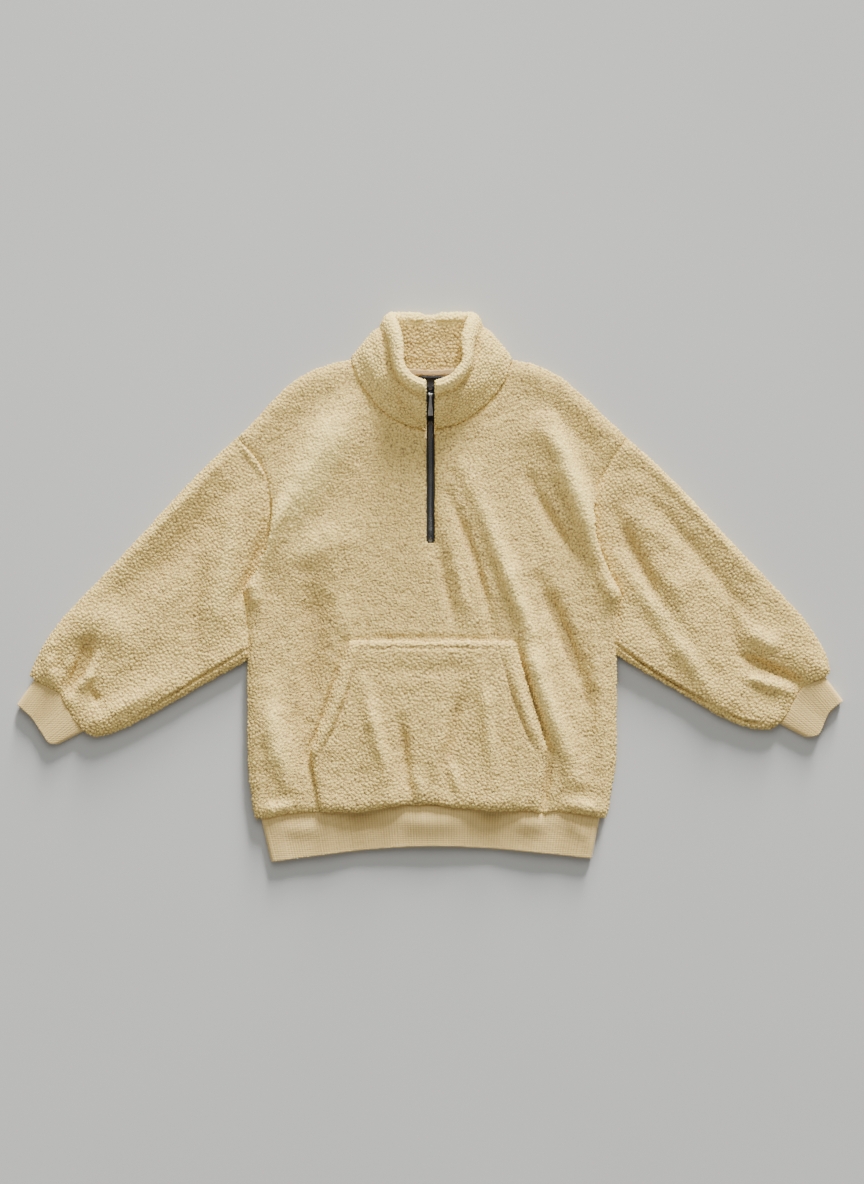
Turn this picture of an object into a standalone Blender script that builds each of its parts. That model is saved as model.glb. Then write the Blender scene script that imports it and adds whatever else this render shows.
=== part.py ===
# A sherpa fleece half-zip pullover laid flat on a surface, seen from above.
# +X runs along the right sleeve, +Y from the hem to the collar, +Z up from the surface.
# All tables are in millimetres.
import math

import bmesh
import bpy
import numpy as np

for thing in list(bpy.data.objects):
    bpy.data.objects.remove(thing, do_unlink=True)

MM = 0.001
SEAM_GAP = 0.35

# Moves the outlines below so that the origin is in the middle of the footprint
FOOTPRINT_X, FOOTPRINT_Y = 2.0, 1.627

FOLD_GAP = 1.0

# Sherpa cloth: knit backing with its pile, and how the two layers lie on each other
SHERPA_WALL = 8.0
BACK_TOP = SHERPA_WALL
FRONT_LEVEL = 19.0
FRONT_INSIDE_LOWEST = BACK_TOP + 0.9
EDGE_RADIUS = 12.5
EDGE_MIDDLE = 12.5
INNER_EDGE_MIDDLE = 9.3
EDGE_LINES = (0.0, 1.0, 4.0, 8.5, 14.0)
SEAM_DIP = 3.2
SEAM_DIP_WIDTH = 9.0
HEM_SEAM_DIP_SHARE = 0.25

# Soft swelling just inside a folded edge, and the shallow valley that follows it
PUFF_HEIGHT, PUFF_AT, PUFF_WIDTH = 2.6, 20.0, 13.0
VALLEY_DEPTH, VALLEY_AT, VALLEY_WIDTH = 1.4, 58.0, 20.0

# Rib knit, folded double
RIB_WALL = 5.0
RIB_LEVEL = 13.6
RIB_EDGE_RADIUS = 7.0
RIB_EDGE_MIDDLE = 7.0
RIB_INNER_EDGE_MIDDLE = 6.8
RIB_PITCH = 4.05
RIB_RAISE = 0.8

# Half zip
SLOT_LEFT, SLOT_RIGHT = -7.5, 4.5
SLOT_BOTTOM = 64.0
SLOT_LINES = (3.0, 8.5)

# Panel outlines, one point a row: x, y
BOTTOM_EDGE = (
    (-254.5, -336), (-220, -329.5), (-182, -325), (-145, -324.5), (-107, -325), (-78, -320),
    (-51, -315), (-15, -314.5), (22, -316), (60, -320), (96, -323), (152, -322), (205, -326),
    (253, -333.5),
)
SIDE_LEFT = (
    (-254.5, -336), (-257, -323), (-262, -294), (-266, -250), (-266, -180), (-266, -106),
    (-266.5, -40), (-272, -5),
)
SIDE_RIGHT = (
    (253, -333.5), (256, -323), (260.5, -294), (267, -250), (267.5, -180), (267.5, -100),
    (268.5, -45), (275, -12),
)
ARMHOLE_LEFT = (
    (-272, -5), (-255, 20), (-242, 44), (-231.5, 84), (-228.5, 120), (-236.5, 151), (-254.5, 186),
    (-280, 217),
)
ARMHOLE_RIGHT = (
    (275, -12), (253, 28), (238, 71), (231.5, 108), (237, 134), (261, 184), (282, 217),
)
SHOULDER_LEFT = (
    (-280, 217), (-263, 233.5), (-246, 251), (-231, 268), (-214, 286), (-194, 302), (-175, 312),
    (-153, 320.5), (-132, 327), (-118, 329),
)
SHOULDER_RIGHT = (
    (282, 217), (265, 233.5), (245, 251), (229, 268), (208, 286), (189, 302.5), (172, 312),
    (151.5, 320.5), (132, 327), (118, 329),
)
NECK_LEFT = ((-118, 329), (-112, 316), (-102, 296), (-83, 268), (-61, 249), (-33, 233.5), (-7.5, 228))
NECK_RIGHT = ((118, 329), (112, 313), (102, 294), (83, 270), (64, 253), (42, 239), (4.5, 228))
BACK_NECK = (
    (-118, 329), (-109, 320.2), (-84, 311.4), (-50, 306), (0, 303.4), (50, 306), (84, 311.4),
    (107.5, 317.6), (118, 329),
)

# Sleeve outlines: x, y
SLEEVE_LEFT_TOP = (
    (-280, 217), (-320, 181), (-359, 141), (-426, 68), (-494, -4), (-536, -48), (-565, -91),
    (-577, -116), (-581, -127),
)
SLEEVE_LEFT_BOTTOM = (
    (-266, -104), (-288, -117), (-331, -140), (-382, -170), (-434, -198), (-465, -211), (-488, -216),
)
SLEEVE_LEFT_END = (
    (-488, -216), (-503, -208), (-520, -188), (-530, -171), (-535, -156), (-553, -143), (-571, -136),
    (-581, -127),
)
SLEEVE_RIGHT_TOP = (
    (282, 217), (322, 180), (362, 141), (431, 68), (499.5, -4), (540, -48), (567, -91), (575, -112),
    (576, -123),
)
SLEEVE_RIGHT_BOTTOM = (
    (267.5, -97), (297, -115), (328, -133), (372, -158.5), (411, -182), (443, -197), (470, -204.5),
    (492, -205),
)
SLEEVE_RIGHT_END = (
    (492, -205), (505, -195), (518, -176), (527, -158), (536, -146), (553, -136), (568, -131),
    (576, -123),
)
SLEEVE_LEFT_FOOT_Y = -104.0
SLEEVE_RIGHT_FOOT_Y = -97.0

# Cuff outlines: x, y
CUFF_LEFT_TOP = ((-576, -133), (-584, -143), (-594, -156), (-602, -170))
CUFF_LEFT_BOTTOM = ((-503, -209), (-515, -217), (-528, -224), (-541, -228))
CUFF_LEFT_END = ((-541, -228), (-555, -226), (-566.5, -210), (-581, -189), (-602, -170))
CUFF_RIGHT_TOP = ((572, -130), (581, -141), (590, -153), (598, -165))
CUFF_RIGHT_BOTTOM = ((503, -198), (515, -207), (529, -214), (542, -218))
CUFF_RIGHT_END = ((542, -218), (561, -214), (570, -196), (579, -179), (598, -165))

# Hem band: x, y
HEM_BOTTOM = ((-233, -399), (-160, -389), (-80, -380), (0, -376), (80, -379), (160, -386), (233, -394))
HEM_TOP_LEFT, HEM_TOP_RIGHT = -248.0, 245.0

# Kangaroo pocket, clockwise from the top left, down to the hem seam: x, y
POCKET_OUTLINE = ((-118, -79), (119, -80), (166, -235), (152, -345), (-157, -345), (-174, -236))
POCKET_WALL = 7.0
POCKET_EDGE = 5.0
POCKET_MERGE = 1.2

# Folds of the front and sleeves. Each runs through three points and fades out at both ends:
# x and y of start, middle and end, half width, height (negative is a trough)
BODY_FOLDS = (
    (-130, 235, -175, 175, -222, 80, 26, 5),
    (-218, 95, -238, 45, -262, 0, 15, 3.5),
    (-120, 62, -155, 45, -195, 20, 24, 3),
    (-160, -15, -180, -60, -176, -185, 22, -3.5),
    (-235, -215, -215, -265, -185, -305, 20, 4.5),
    (155, 232, 212, 110, 262, 0, 19, 6.5),
    (140, 170, 172, 100, 205, 40, 17, -4),
    (60, 160, 100, 80, 118, 10, 19, 4.5),
    (118, 10, 140, -60, 165, -130, 17, 6),
    (165, -130, 190, -200, 212, -310, 18, 5.5),
    (20, 110, 45, 50, 68, -55, 13, 4),
    (170, -25, 200, -110, 232, -195, 16, -4.5),
    (190, 250, 222, 200, 240, 150, 20, -3),
    (-85, -190, -78, -250, -52, -312, 15, 5),
    (-40, -240, -42, -275, -36, -305, 12, -3.5),
    (10, -215, 11, -265, 20, -312, 14, 3.5),
    (62, -150, 52, -230, 30, -295, 13, -3.5),
    (95, -150, 102, -240, 82, -310, 22, 3.5),
    (-150, -308, -110, -314, -75, -310, 14, 2.5),
    (60, -306, 88, -311, 115, -306, 13, 2.5),
)
SLEEVE_FOLDS = (
    (-285, 190, -340, 110, -460, -15, 26, -3),
    (-275, 140, -290, 50, -320, -50, 20, 4),
    (-275, -75, -305, -95, -335, -110, 15, 2.5),
    (-370, -135, -430, -165, -480, -190, 18, 3.5),
    (-545, -70, -490, -52, -450, -85, 20, 3.5),
    (-505, -92, -514, -115, -524, -142, 11, -5),
    (-497, -118, -512, -140, -526, -152, 9, 3),
    (-548, -88, -552, -118, -545, -136, 11, 3.5),
    (-500, -150, -488, -160, -478, -168, 11, -2.5),
    (300, 170, 400, 55, 510, -45, 19, -3.2),
    (280, 140, 320, 70, 350, 0, 18, 4),
    (350, 0, 385, -80, 430, -150, 21, 5.5),
    (258, 110, 300, 10, 345, -75, 16, -4),
    (290, -60, 310, -78, 338, -98, 14, 2.5),
    (460, -60, 500, -80, 550, -115, 17, 4.5),
    (450, -112, 487, -120, 526, -142, 11, -5),
    (460, -132, 495, -142, 520, -152, 9, 3),
)
HEM_FOLDS = (
    (-165, -330, -165, -360, -160, -390, 26, 1.6),
    (-108, -324, -108, -352, -105, -382, 24, -1.4),
    (-2, -316, 0, -346, 0, -376, 40, 2.4),
    (85, -320, 86, -350, 88, -380, 20, -1.4),
    (152, -324, 154, -352, 156, -386, 26, 1.8),
)

# Collar, from the left zip edge round the back to the right zip edge. Middle of its wall:
# x, y, z at the neck seam, x, y, z at the rim, outward bulge, turn of the outside (0 up, 180 down)
COLLAR_STATIONS = (
    (-7.5, 228.4, 15.0, -7.5, 289.0, 59.0, 5.0, 0),
    (-32.5, 234.0, 15.0, -24.0, 295.0, 60.0, 5.0, 0),
    (-60.5, 249.5, 15.2, -38.0, 305.0, 59.0, -1.0, 0),
    (-82.5, 268.5, 15.5, -45.5, 319.0, 55.5, -2.5, 0),
    (-101.3, 296.5, 16.0, -47.0, 342.0, 49.0, -2.5, 4),
    (-108.5, 313.0, 16.2, -50.0, 361.0, 42.0, -1.5, 12),
    (-111.6, 323.0, 14.8, -55.0, 376.0, 32.0, 0.5, 40),
    (-112.0, 329.0, 10.5, -58.5, 384.5, 20.5, 1.0, 90),
    (-108.0, 328.5, 6.2, -56.0, 388.0, 10.5, 0.0, 140),
    (-96.0, 320.0, 5.1, -47.0, 388.6, 8.1, 0.0, 176),
    (-66.0, 309.9, 5.0, -31.0, 388.3, 8.0, 0.0, 180),
    (-34.0, 306.3, 5.0, -15.0, 387.6, 8.0, 0.0, 180),
    (0.0, 304.6, 5.0, 0.0, 387.2, 8.0, 0.0, 180),
    (34.0, 306.3, 5.0, 16.0, 387.6, 8.0, 0.0, 180),
    (66.0, 309.9, 5.0, 32.0, 388.4, 8.0, 0.0, 180),
    (96.0, 320.0, 5.1, 48.0, 388.8, 8.1, 0.0, 176),
    (108.0, 328.5, 6.2, 56.5, 388.4, 10.5, 0.0, 140),
    (112.0, 329.0, 10.5, 59.0, 385.0, 20.5, 1.0, 90),
    (111.6, 323.0, 14.8, 55.0, 376.0, 32.0, 0.5, 40),
    (108.5, 311.0, 16.2, 50.5, 360.0, 42.0, -1.5, 12),
    (101.3, 294.5, 16.0, 49.5, 342.0, 49.0, -2.5, 4),
    (82.5, 270.5, 15.5, 50.0, 323.0, 55.0, -2.5, 0),
    (63.5, 253.5, 15.2, 42.0, 307.0, 59.0, -1.0, 0),
    (35.0, 235.9, 15.0, 25.0, 295.5, 60.0, 5.0, 0),
    (4.5, 228.4, 15.0, 4.5, 289.0, 59.0, 5.0, 0),
)
COLLAR_WALL_AT_SEAM, COLLAR_WALL_AT_RIM = 10.0, 16.0
COLLAR_LEVELS = (0.0, 0.03, 0.13, 0.32, 0.55, 0.78, 1.0)
COLLAR_UPRIGHT_UP_TO = 0.12
COLLAR_RIM_STEPS = 4
COLLAR_STEPS_PER_STATION = 2
COLLAR_GAP = 0.6
FRONT_TURN, BACK_TURN = 10, 150

# Neck tape on the collar's inside, over the back seam, and the label below it
TAPE_STATIONS = (9, 15)
TAPE_LEVELS = (1, 2)
TAPE_THICK = 0.9
LABEL_LEFT, LABEL_RIGHT = -19.0, 23.0
# Rows of the label as Y and rise above the back panel: it climbs over the collar's seam edge to the tape
LABEL_ROWS = ((266.0, 0.0), (301.2, 0.0), (303.2, 2.6), (306.1, 2.6))
LABEL_THICK = 0.8

# Zip parts. Depths are measured inwards from the cloth's outer face, widths along X.
ZIP_MIDDLE = (SLOT_LEFT + SLOT_RIGHT) / 2
ZIP_TAPE_WIDTH, ZIP_TAPE_DEPTH, ZIP_TAPE_THICK = 3.2, 3.4, 1.2
ZIP_CHAIN_WIDTH, ZIP_CHAIN_DEPTH, ZIP_CHAIN_THICK = 4.4, 2.6, 2.6
STOP_LENGTH, STOP_WIDTH, STOP_THICK = 3.4, 4.4, 2.8
SLIDER_LENGTH, SLIDER_WIDTH, SLIDER_BELOW_RIM = 12.5, 9.4, 5.0
SLIDER_TOP_PLATE, SLIDER_BOTTOM_PLATE, SLIDER_WEB = 1.7, 1.2, 4.2
EAR_THICK, EAR_RADIUS, EAR_APART = 1.1, 1.9, 2.8
PIN_RADIUS, PIN_LIFT = 0.75, 2.2
PULL_LENGTH, PULL_THICK = 35.0, 2.0
PULL_BARREL, PULL_BORE, PULL_BARREL_WIDTH = 2.0, 1.15, 4.8
PULL_OUTLINE = ((0.0, 3.0), (6.0, 2.8), (14.0, 4.0), (26.0, 6.4), (35.0, 7.4))
TIP_LENGTH, TIP_WIDTH, TIP_THICK = 9.0, 8.6, 3.0


# Curves and distances

def polyline(points):
    return np.array(points, dtype=float)


def lengths(points):
    steps = np.linalg.norm(np.diff(points, axis=0), axis=1)
    return np.concatenate(([0.0], np.cumsum(steps)))


def along(points, fractions):
    """Points on a polyline at fractions of its length."""
    run = lengths(points)
    at = np.asarray(fractions) * run[-1]
    return np.stack([np.interp(at, run, points[:, k]) for k in range(points.shape[1])], axis=1)


def rounded(points, per_span=8):
    """A Catmull-Rom curve through the points, as a finer polyline."""
    pts = polyline(points)
    ends = np.vstack((2 * pts[0] - pts[1], pts, 2 * pts[-1] - pts[-2]))
    out = []
    for k in range(len(pts) - 1):
        for step in range(per_span):
            out.append(catmull(ends, k, step / per_span))
    out.append(pts[-1])
    return np.array(out)


def catmull(ends, k, t):
    a, b, c, d = ends[k], ends[k + 1], ends[k + 2], ends[k + 3]
    return 0.5 * (2 * b + (c - a) * t + (2 * a - 5 * b + 4 * c - d) * t ** 2 + (3 * b - a - 3 * c + d) * t ** 3)


def distance(points, line):
    """Distance of each point from a polyline."""
    best = np.full(len(points), 1e9)
    for a, b in zip(line[:-1], line[1:]):
        step = b - a
        size = max(float(step @ step), 1e-12)
        t = np.clip(((points - a) @ step) / size, 0.0, 1.0)
        best = np.minimum(best, np.linalg.norm(points - a - t[:, None] * step, axis=1))
    return best


def coons(bottom, top, left, right, u, v):
    """A grid of plan points, rows by v and columns by u, blended from its four sides."""
    b, t, l, r = bottom(u), top(u), left(v), right(v)
    c00, c10, c01, c11 = b[0], b[-1], t[0], t[-1]
    uu, vv = np.asarray(u)[None, :, None], np.asarray(v)[:, None, None]
    ruled_v = (1 - vv) * b[None] + vv * t[None]
    ruled_u = (1 - uu) * l[:, None] + uu * r[:, None]
    corners = (1 - uu) * (1 - vv) * c00 + uu * (1 - vv) * c10 + (1 - uu) * vv * c01 + uu * vv * c11
    return ruled_v + ruled_u - corners


def bump(points, folds):
    """Height that a table of folds adds at each plan point."""
    total = np.zeros(len(points))
    for x0, y0, x1, y1, x2, y2, half_width, height in folds:
        line = rounded(((x0, y0), (x1, y1), (x2, y2)), 6)
        total += height * np.exp(-(distance(points, line) / half_width) ** 2)
    return total


def swell(d):
    """Rise and fall of the cloth with the distance from a folded edge."""
    rise = PUFF_HEIGHT * np.exp(-((d - PUFF_AT) / PUFF_WIDTH) ** 2)
    fall = VALLEY_DEPTH * np.exp(-((d - VALLEY_AT) / VALLEY_WIDTH) ** 2)
    return rise - fall


def seam_dip(d):
    return SEAM_DIP * np.clip(1 - d / SEAM_DIP_WIDTH, 0, 1) ** 2


def turn(d, radius):
    """How far round a folded edge a point lies: 0 at the edge, 1 where the cloth lies flat."""
    q = np.clip(d / radius, 0, 1)
    return q, np.sqrt(np.clip(1 - (1 - q) ** 2, 0, 1))


# Meshes

footprint = bpy.data.objects.new("footprint", None)
footprint.location = (FOOTPRINT_X * MM, FOOTPRINT_Y * MM, 0.0)
bpy.context.scene.collection.objects.link(footprint)


def make_object(name, bm, colour, roughness, metallic=0.0):
    bmesh.ops.recalc_face_normals(bm, faces=bm.faces)
    mesh = bpy.data.meshes.new(name)
    bm.to_mesh(mesh)
    bm.free()
    material = bpy.data.materials.new(name)
    material.use_nodes = True
    shader = material.node_tree.nodes["Principled BSDF"]
    shader.inputs["Base Color"].default_value = (*colour, 1.0)
    shader.inputs["Roughness"].default_value = roughness
    shader.inputs["Metallic"].default_value = metallic
    mesh.materials.append(material)
    obj = bpy.data.objects.new(name, mesh)
    bpy.context.scene.collection.objects.link(obj)
    obj.parent = footprint
    return obj


def sheet_mesh(grid, keep=None):
    """A triangulated sheet from a grid of points, with each vertex's grid number kept."""
    bm = bmesh.new()
    number = bm.verts.layers.int.new("number")
    rows, cols = grid.shape[:2]
    verts = []
    for k, point in enumerate(grid.reshape(-1, 3)):
        vert = bm.verts.new(point * MM)
        vert[number] = k
        verts.append(vert)
    for r in range(rows - 1):
        for c in range(cols - 1):
            if keep is None or keep(r, c):
                k = r * cols + c
                bm.faces.new((verts[k], verts[k + 1], verts[k + cols + 1], verts[k + cols]))
    bmesh.ops.triangulate(bm, faces=bm.faces, quad_method="FIXED")
    return bm


def thicken(bm, place):
    """Extrude a whole sheet and move the new layer to where place() puts each vertex."""
    number = bm.verts.layers.int["number"]
    old_verts = set(bm.verts)
    bmesh.ops.extrude_face_region(bm, geom=list(bm.faces))
    for vert in bm.verts:
        if vert not in old_verts:
            vert.co = place(vert, vert[number])


def wall_from_sheet(name, outer, inner, colour, roughness, keep=None):
    bm = sheet_mesh(outer, keep)
    flat = inner.reshape(-1, 3) * MM
    thicken(bm, lambda vert, k: flat[k])
    return make_object(name, bm, colour, roughness)


def loft(bm, rings, closed=True):
    """Faces between rings of points, each ring joined to the next."""
    made = [[bm.verts.new(point * MM) for point in ring] for ring in rings]
    for ring, following in zip(made[:-1], made[1:]):
        count = len(ring)
        for k in range(count if closed else count - 1):
            n = (k + 1) % count
            bm.faces.new((ring[k], ring[n], following[n], following[k]))
    return made


def tube(name, outer_rings, inner_rings, colour, roughness):
    """An open-ended wall: outer rings, inner rings and the two cut ends between them."""
    bm = bmesh.new()
    outside = loft(bm, outer_rings)
    inside = loft(bm, inner_rings)
    for a, b in ((outside[0], inside[0]), (outside[-1], inside[-1])):
        count = len(a)
        for k in range(count):
            n = (k + 1) % count
            bm.faces.new((a[k], a[n], b[n], b[k]))
    return make_object(name, bm, colour, roughness)


# Front and back panels

def side_curve(side, armhole):
    """The panel's side, with the armpit at the same fraction on every panel."""
    low, high = rounded(side), rounded(armhole)

    def curve(v):
        v = np.asarray(v)
        below = along(low, np.clip(v / ARMPIT_AT, 0, 1))
        above = along(high, np.clip((v - ARMPIT_AT) / (1 - ARMPIT_AT), 0, 1))
        return np.where((v <= ARMPIT_AT)[:, None], below, above)
    return curve


ARMPIT_AT = 0.585
BODY_HEIGHT = 566.0
BODY_WIDTH = 507.5
NECK_HALF = 118.0
SHOULDER_LINES = 8
CORNER_TUCK = 1.2
bottom_line = rounded(BOTTOM_EDGE)
left_side = side_curve(SIDE_LEFT, ARMHOLE_LEFT)
right_side = side_curve(SIDE_RIGHT, ARMHOLE_RIGHT)


def bottom_curve(u):
    x = BOTTOM_EDGE[0][0] + np.asarray(u) * BODY_WIDTH
    return np.stack((x, np.interp(x, bottom_line[:, 0], bottom_line[:, 1])), axis=1)


def top_curve(neck_left, neck_right, neck_inner_left, neck_inner_right):
    """Shoulder, neckline, shoulder. Columns keep their spacing next to the middle of the neck."""
    shoulders = rounded(SHOULDER_LEFT), rounded(SHOULDER_RIGHT)
    necks = rounded(neck_left), rounded(neck_right)
    near = 12.0

    def curve(u):
        out = []
        for x in BOTTOM_EDGE[0][0] + np.asarray(u) * BODY_WIDTH:
            side = 0 if x < (neck_inner_left + neck_inner_right) / 2 else 1
            inner = neck_inner_left if side == 0 else neck_inner_right
            if neck_inner_left <= x <= neck_inner_right:
                out.append((x, necks[side][-1][1]))
            elif abs(x) <= NECK_HALF:
                size = lengths(necks[side])[-1]
                span = NECK_HALF - abs(inner)
                off = abs(x - inner)
                run = off if off < near else near + (off - near) * (size - near) / (span - near)
                out.append(along(necks[side], [1 - run / size])[0])
            else:
                outer = abs(BOTTOM_EDGE[0][0]) if side == 0 else BOTTOM_EDGE[-1][0]
                out.append(along(shoulders[side], [1 - (abs(x) - NECK_HALF) / (outer - NECK_HALF)])[0])
        return np.array(out)
    return curve


def body_columns(with_slot):
    left, right = BOTTOM_EDGE[0][0], BOTTOM_EDGE[-1][0]
    edge = EDGE_LINES[-1]
    lines = [left + d for d in EDGE_LINES] + [right - d for d in EDGE_LINES]
    lines += list(np.linspace(left + edge, -NECK_HALF, SHOULDER_LINES)[1:])
    lines += list(np.linspace(right - edge, NECK_HALF, SHOULDER_LINES)[1:])
    if with_slot:
        lines += [SLOT_LEFT - d for d in (0,) + SLOT_LINES] + [SLOT_RIGHT + d for d in (0,) + SLOT_LINES]
        lines += list(np.linspace(-NECK_HALF, SLOT_LEFT - SLOT_LINES[-1], 7)[1:-1])
        lines += list(np.linspace(NECK_HALF, SLOT_RIGHT + SLOT_LINES[-1], 7)[1:-1])
    else:
        lines += list(np.linspace(-NECK_HALF, NECK_HALF, 9)[1:-1])
    return np.array(sorted(lines))


def body_rows(below, above):
    edge = EDGE_LINES[-1] / BODY_HEIGHT
    rows = [0.0, 4.0 / BODY_HEIGHT, 10.0 / BODY_HEIGHT]
    rows += list(np.linspace(10.0 / BODY_HEIGHT, ARMPIT_AT, below + 1)[1:])
    rows += list(np.linspace(ARMPIT_AT, 1 - edge, above + 1)[1:])
    rows += [1 - d / BODY_HEIGHT for d in EDGE_LINES[3::-1]]
    return np.array(rows)


def slot_row(plan_of, rows):
    """Move the nearest row so that it passes through the zip's lower end."""
    fine = np.linspace(0.3, 0.95, 400)
    middle = (ZIP_MIDDLE - BOTTOM_EDGE[0][0]) / BODY_WIDTH
    y = plan_of(np.array([0.0, middle, 1.0]), fine)[:, 1, 1]
    at = float(np.interp(SLOT_BOTTOM, y, fine))
    k = int(np.argmin(np.abs(rows - at)))
    rows[k] = at
    return rows, k


def folded_edges():
    v_side = np.linspace(0, ARMPIT_AT, 40)
    sides = (left_side(v_side), right_side(v_side))
    return sides, (rounded(SHOULDER_LEFT), rounded(SHOULDER_RIGHT))


def seam_lines(with_slot):
    v_arm = np.linspace(ARMPIT_AT, 1, 40)
    lines = [left_side(v_arm), right_side(v_arm)]
    if with_slot:
        lines += [rounded(NECK_LEFT), rounded(NECK_RIGHT)]
        lines.append(polyline(((SLOT_LEFT, 240), (SLOT_LEFT, SLOT_BOTTOM), (SLOT_RIGHT, SLOT_BOTTOM),
                               (SLOT_RIGHT, 240))))
    return lines


def inward(plan):
    """Unit steps along the rows towards the middle, and down the columns."""
    last = len(EDGE_LINES)
    across = np.zeros_like(plan)
    across[:, :last] = plan[:, last:last + 1] - plan[:, :1]
    across[:, -last:] = plan[:, -last - 1:-last] - plan[:, -1:]
    down = np.zeros_like(plan)
    down[-last:] = plan[-last - 1:-last] - plan[-1:]
    for step in (across, down):
        step /= np.maximum(np.linalg.norm(step, axis=2, keepdims=True), 1e-9)
    return across, down


def panel_sheets(plan, front):
    """Outer and inner grids of a panel, turned round its side and shoulder edges."""
    flat = plan.reshape(-1, 2)
    sides, shoulders = folded_edges()
    d_side = np.minimum(*(distance(flat, line) for line in sides))
    d_shoulder = np.minimum(*(distance(flat, line) for line in shoulders))
    d_edge = np.minimum(d_side, d_shoulder)
    q, rise = turn(d_edge, EDGE_RADIUS)
    across, down = (step.reshape(-1, 2) for step in inward(plan))
    step = np.where((d_side <= d_shoulder)[:, None], across, down)
    inner_plan = flat + step * (SHERPA_WALL * (1 - q))[:, None]
    inner_plan += np.where((d_side > d_shoulder)[:, None], across, 0) * (CORNER_TUCK * (1 - q))[:, None]
    if front:
        middle = EDGE_MIDDLE + FOLD_GAP / 2
        level = FRONT_LEVEL + bump(flat, BODY_FOLDS) + swell(d_edge)
        dip = np.max([seam_dip(distance(flat, line)) for line in seam_lines(True)], axis=0)
        dip = np.maximum(dip, HEM_SEAM_DIP_SHARE * seam_dip(distance(flat, bottom_line)))
        under = np.maximum(level - SHERPA_WALL, FRONT_INSIDE_LOWEST)
        z_outer = middle + (level - dip - middle) * rise
        apex = INNER_EDGE_MIDDLE + FOLD_GAP / 2
        z_inner = apex + (under - apex) * rise
    else:
        middle = EDGE_MIDDLE - FOLD_GAP / 2
        apex = INNER_EDGE_MIDDLE - FOLD_GAP / 2
        z_outer = middle * (1 - rise)
        z_inner = apex + (BACK_TOP - apex) * rise
    outer = np.column_stack((flat, z_outer)).reshape(*plan.shape[:2], 3)
    inner = np.column_stack((inner_plan, z_inner)).reshape(*plan.shape[:2], 3)
    return outer, inner


SHERPA_COLOUR = (0.60, 0.50, 0.31)
POCKET_COLOUR = (0.64, 0.54, 0.34)
RIB_COLOUR = (0.50, 0.39, 0.22)
ZIP_BLACK = (0.012, 0.012, 0.013)

# Front panel
front_x = body_columns(True)
front_u = (front_x - BOTTOM_EDGE[0][0]) / BODY_WIDTH
front_top = top_curve(NECK_LEFT, NECK_RIGHT, SLOT_LEFT, SLOT_RIGHT)


def front_plan(u, v):
    return coons(bottom_curve, front_top, left_side, right_side, u, v)


front_v, slot_at = slot_row(front_plan, body_rows(9, 7))
front_grid = front_plan(front_u, front_v)
slot_column = int(np.argmin(np.abs(front_x - SLOT_LEFT)))
for column in range(slot_column - len(SLOT_LINES), slot_column + 2 + len(SLOT_LINES)):
    front_grid[:, column, 0] = front_x[column]
for column in (slot_column, slot_column + 1):
    front_grid[slot_at, column, 1] = SLOT_BOTTOM
front_outer, front_inner = panel_sheets(front_grid, True)


def beside_slot(row, column):
    return not (column == slot_column and row >= slot_at)


wall_from_sheet("front", front_outer, front_inner, SHERPA_COLOUR, 0.95, beside_slot)

# Back panel
back_x = body_columns(False)
back_top = top_curve(BACK_NECK[:5], BACK_NECK[:3:-1], -0.01, 0.01)


def back_plan(u, v):
    return coons(bottom_curve, back_top, left_side, right_side, u, v)


back_v = np.concatenate((front_v[:3], front_v[4:8:2], front_v[8:]))
back_grid = back_plan((back_x - BOTTOM_EDGE[0][0]) / BODY_WIDTH, back_v)
back_outer, back_inner = panel_sheets(back_grid, False)
wall_from_sheet("back", back_outer, back_inner, SHERPA_COLOUR, 0.95)


# Flattened tubes: sleeves, cuffs and hem band

def flat_ring(plan_front, plan_back, level, wall, radius, middle, apex, back_top_z, raise_by=None):
    """One cross-section, front from edge to edge and back again underneath."""
    outer, inner = [], []
    for plan, top in ((plan_front, True), (plan_back[::-1], False)):
        d = np.minimum(lengths(plan), lengths(plan[::-1])[::-1])
        q, rise = turn(d, radius)
        first = int(np.argmax(lengths(plan) >= radius))
        last = int(np.argmax(lengths(plan[::-1]) >= radius))
        step = np.zeros_like(plan)
        step[:first] = plan[first] - plan[0]
        step[-last:] = plan[-last - 1] - plan[-1]
        step /= np.maximum(np.linalg.norm(step, axis=1, keepdims=True), 1e-9)
        inside = plan + step * (wall * (1 - q))[:, None]
        if top:
            surface, dip = level(plan, d)
            under = np.maximum(surface - wall, back_top_z + 0.5)
            z_out = middle + (surface - dip - middle) * rise
            z_in = apex + (under - apex) * rise
            if raise_by is not None:
                z_out = z_out + raise_by(plan) * rise
        else:
            z_out = middle * (1 - rise)
            z_in = apex + (back_top_z - apex) * rise
        use = slice(0, None) if top else slice(1, -1)
        outer.append(np.column_stack((plan, z_out))[use])
        inner.append(np.column_stack((inside, z_in))[use])
    return np.vstack(outer), np.vstack(inner)


def offset(line, amount):
    """A polyline moved sideways, to its left when amount is positive."""
    step = np.diff(line, axis=0)
    step /= np.linalg.norm(step, axis=1, keepdims=True)
    normal = np.stack((-step[:, 1], step[:, 0]), axis=1)
    before = np.vstack((normal[:1], normal))
    after = np.vstack((normal, normal[-1:]))
    mitre = before + after
    mitre /= np.sum(mitre * before, axis=1, keepdims=True)
    return line + mitre * amount


def sleeve_start(panel_edge, armpit_row, foot_y, side):
    """The sleeve's seam: up the body's side to the armpit, then round the armhole."""
    below = panel_edge[:armpit_row + 1]
    foot_x = np.interp(foot_y, below[:, 1], below[:, 0])
    low = np.vstack(((foot_x, foot_y), below[below[:, 1] > foot_y + 1.0]))
    line = np.vstack((low, panel_edge[armpit_row + 1:]))
    moved = offset(line, SEAM_GAP if side < 0 else -SEAM_GAP)
    return moved, len(low) - 1


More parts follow.
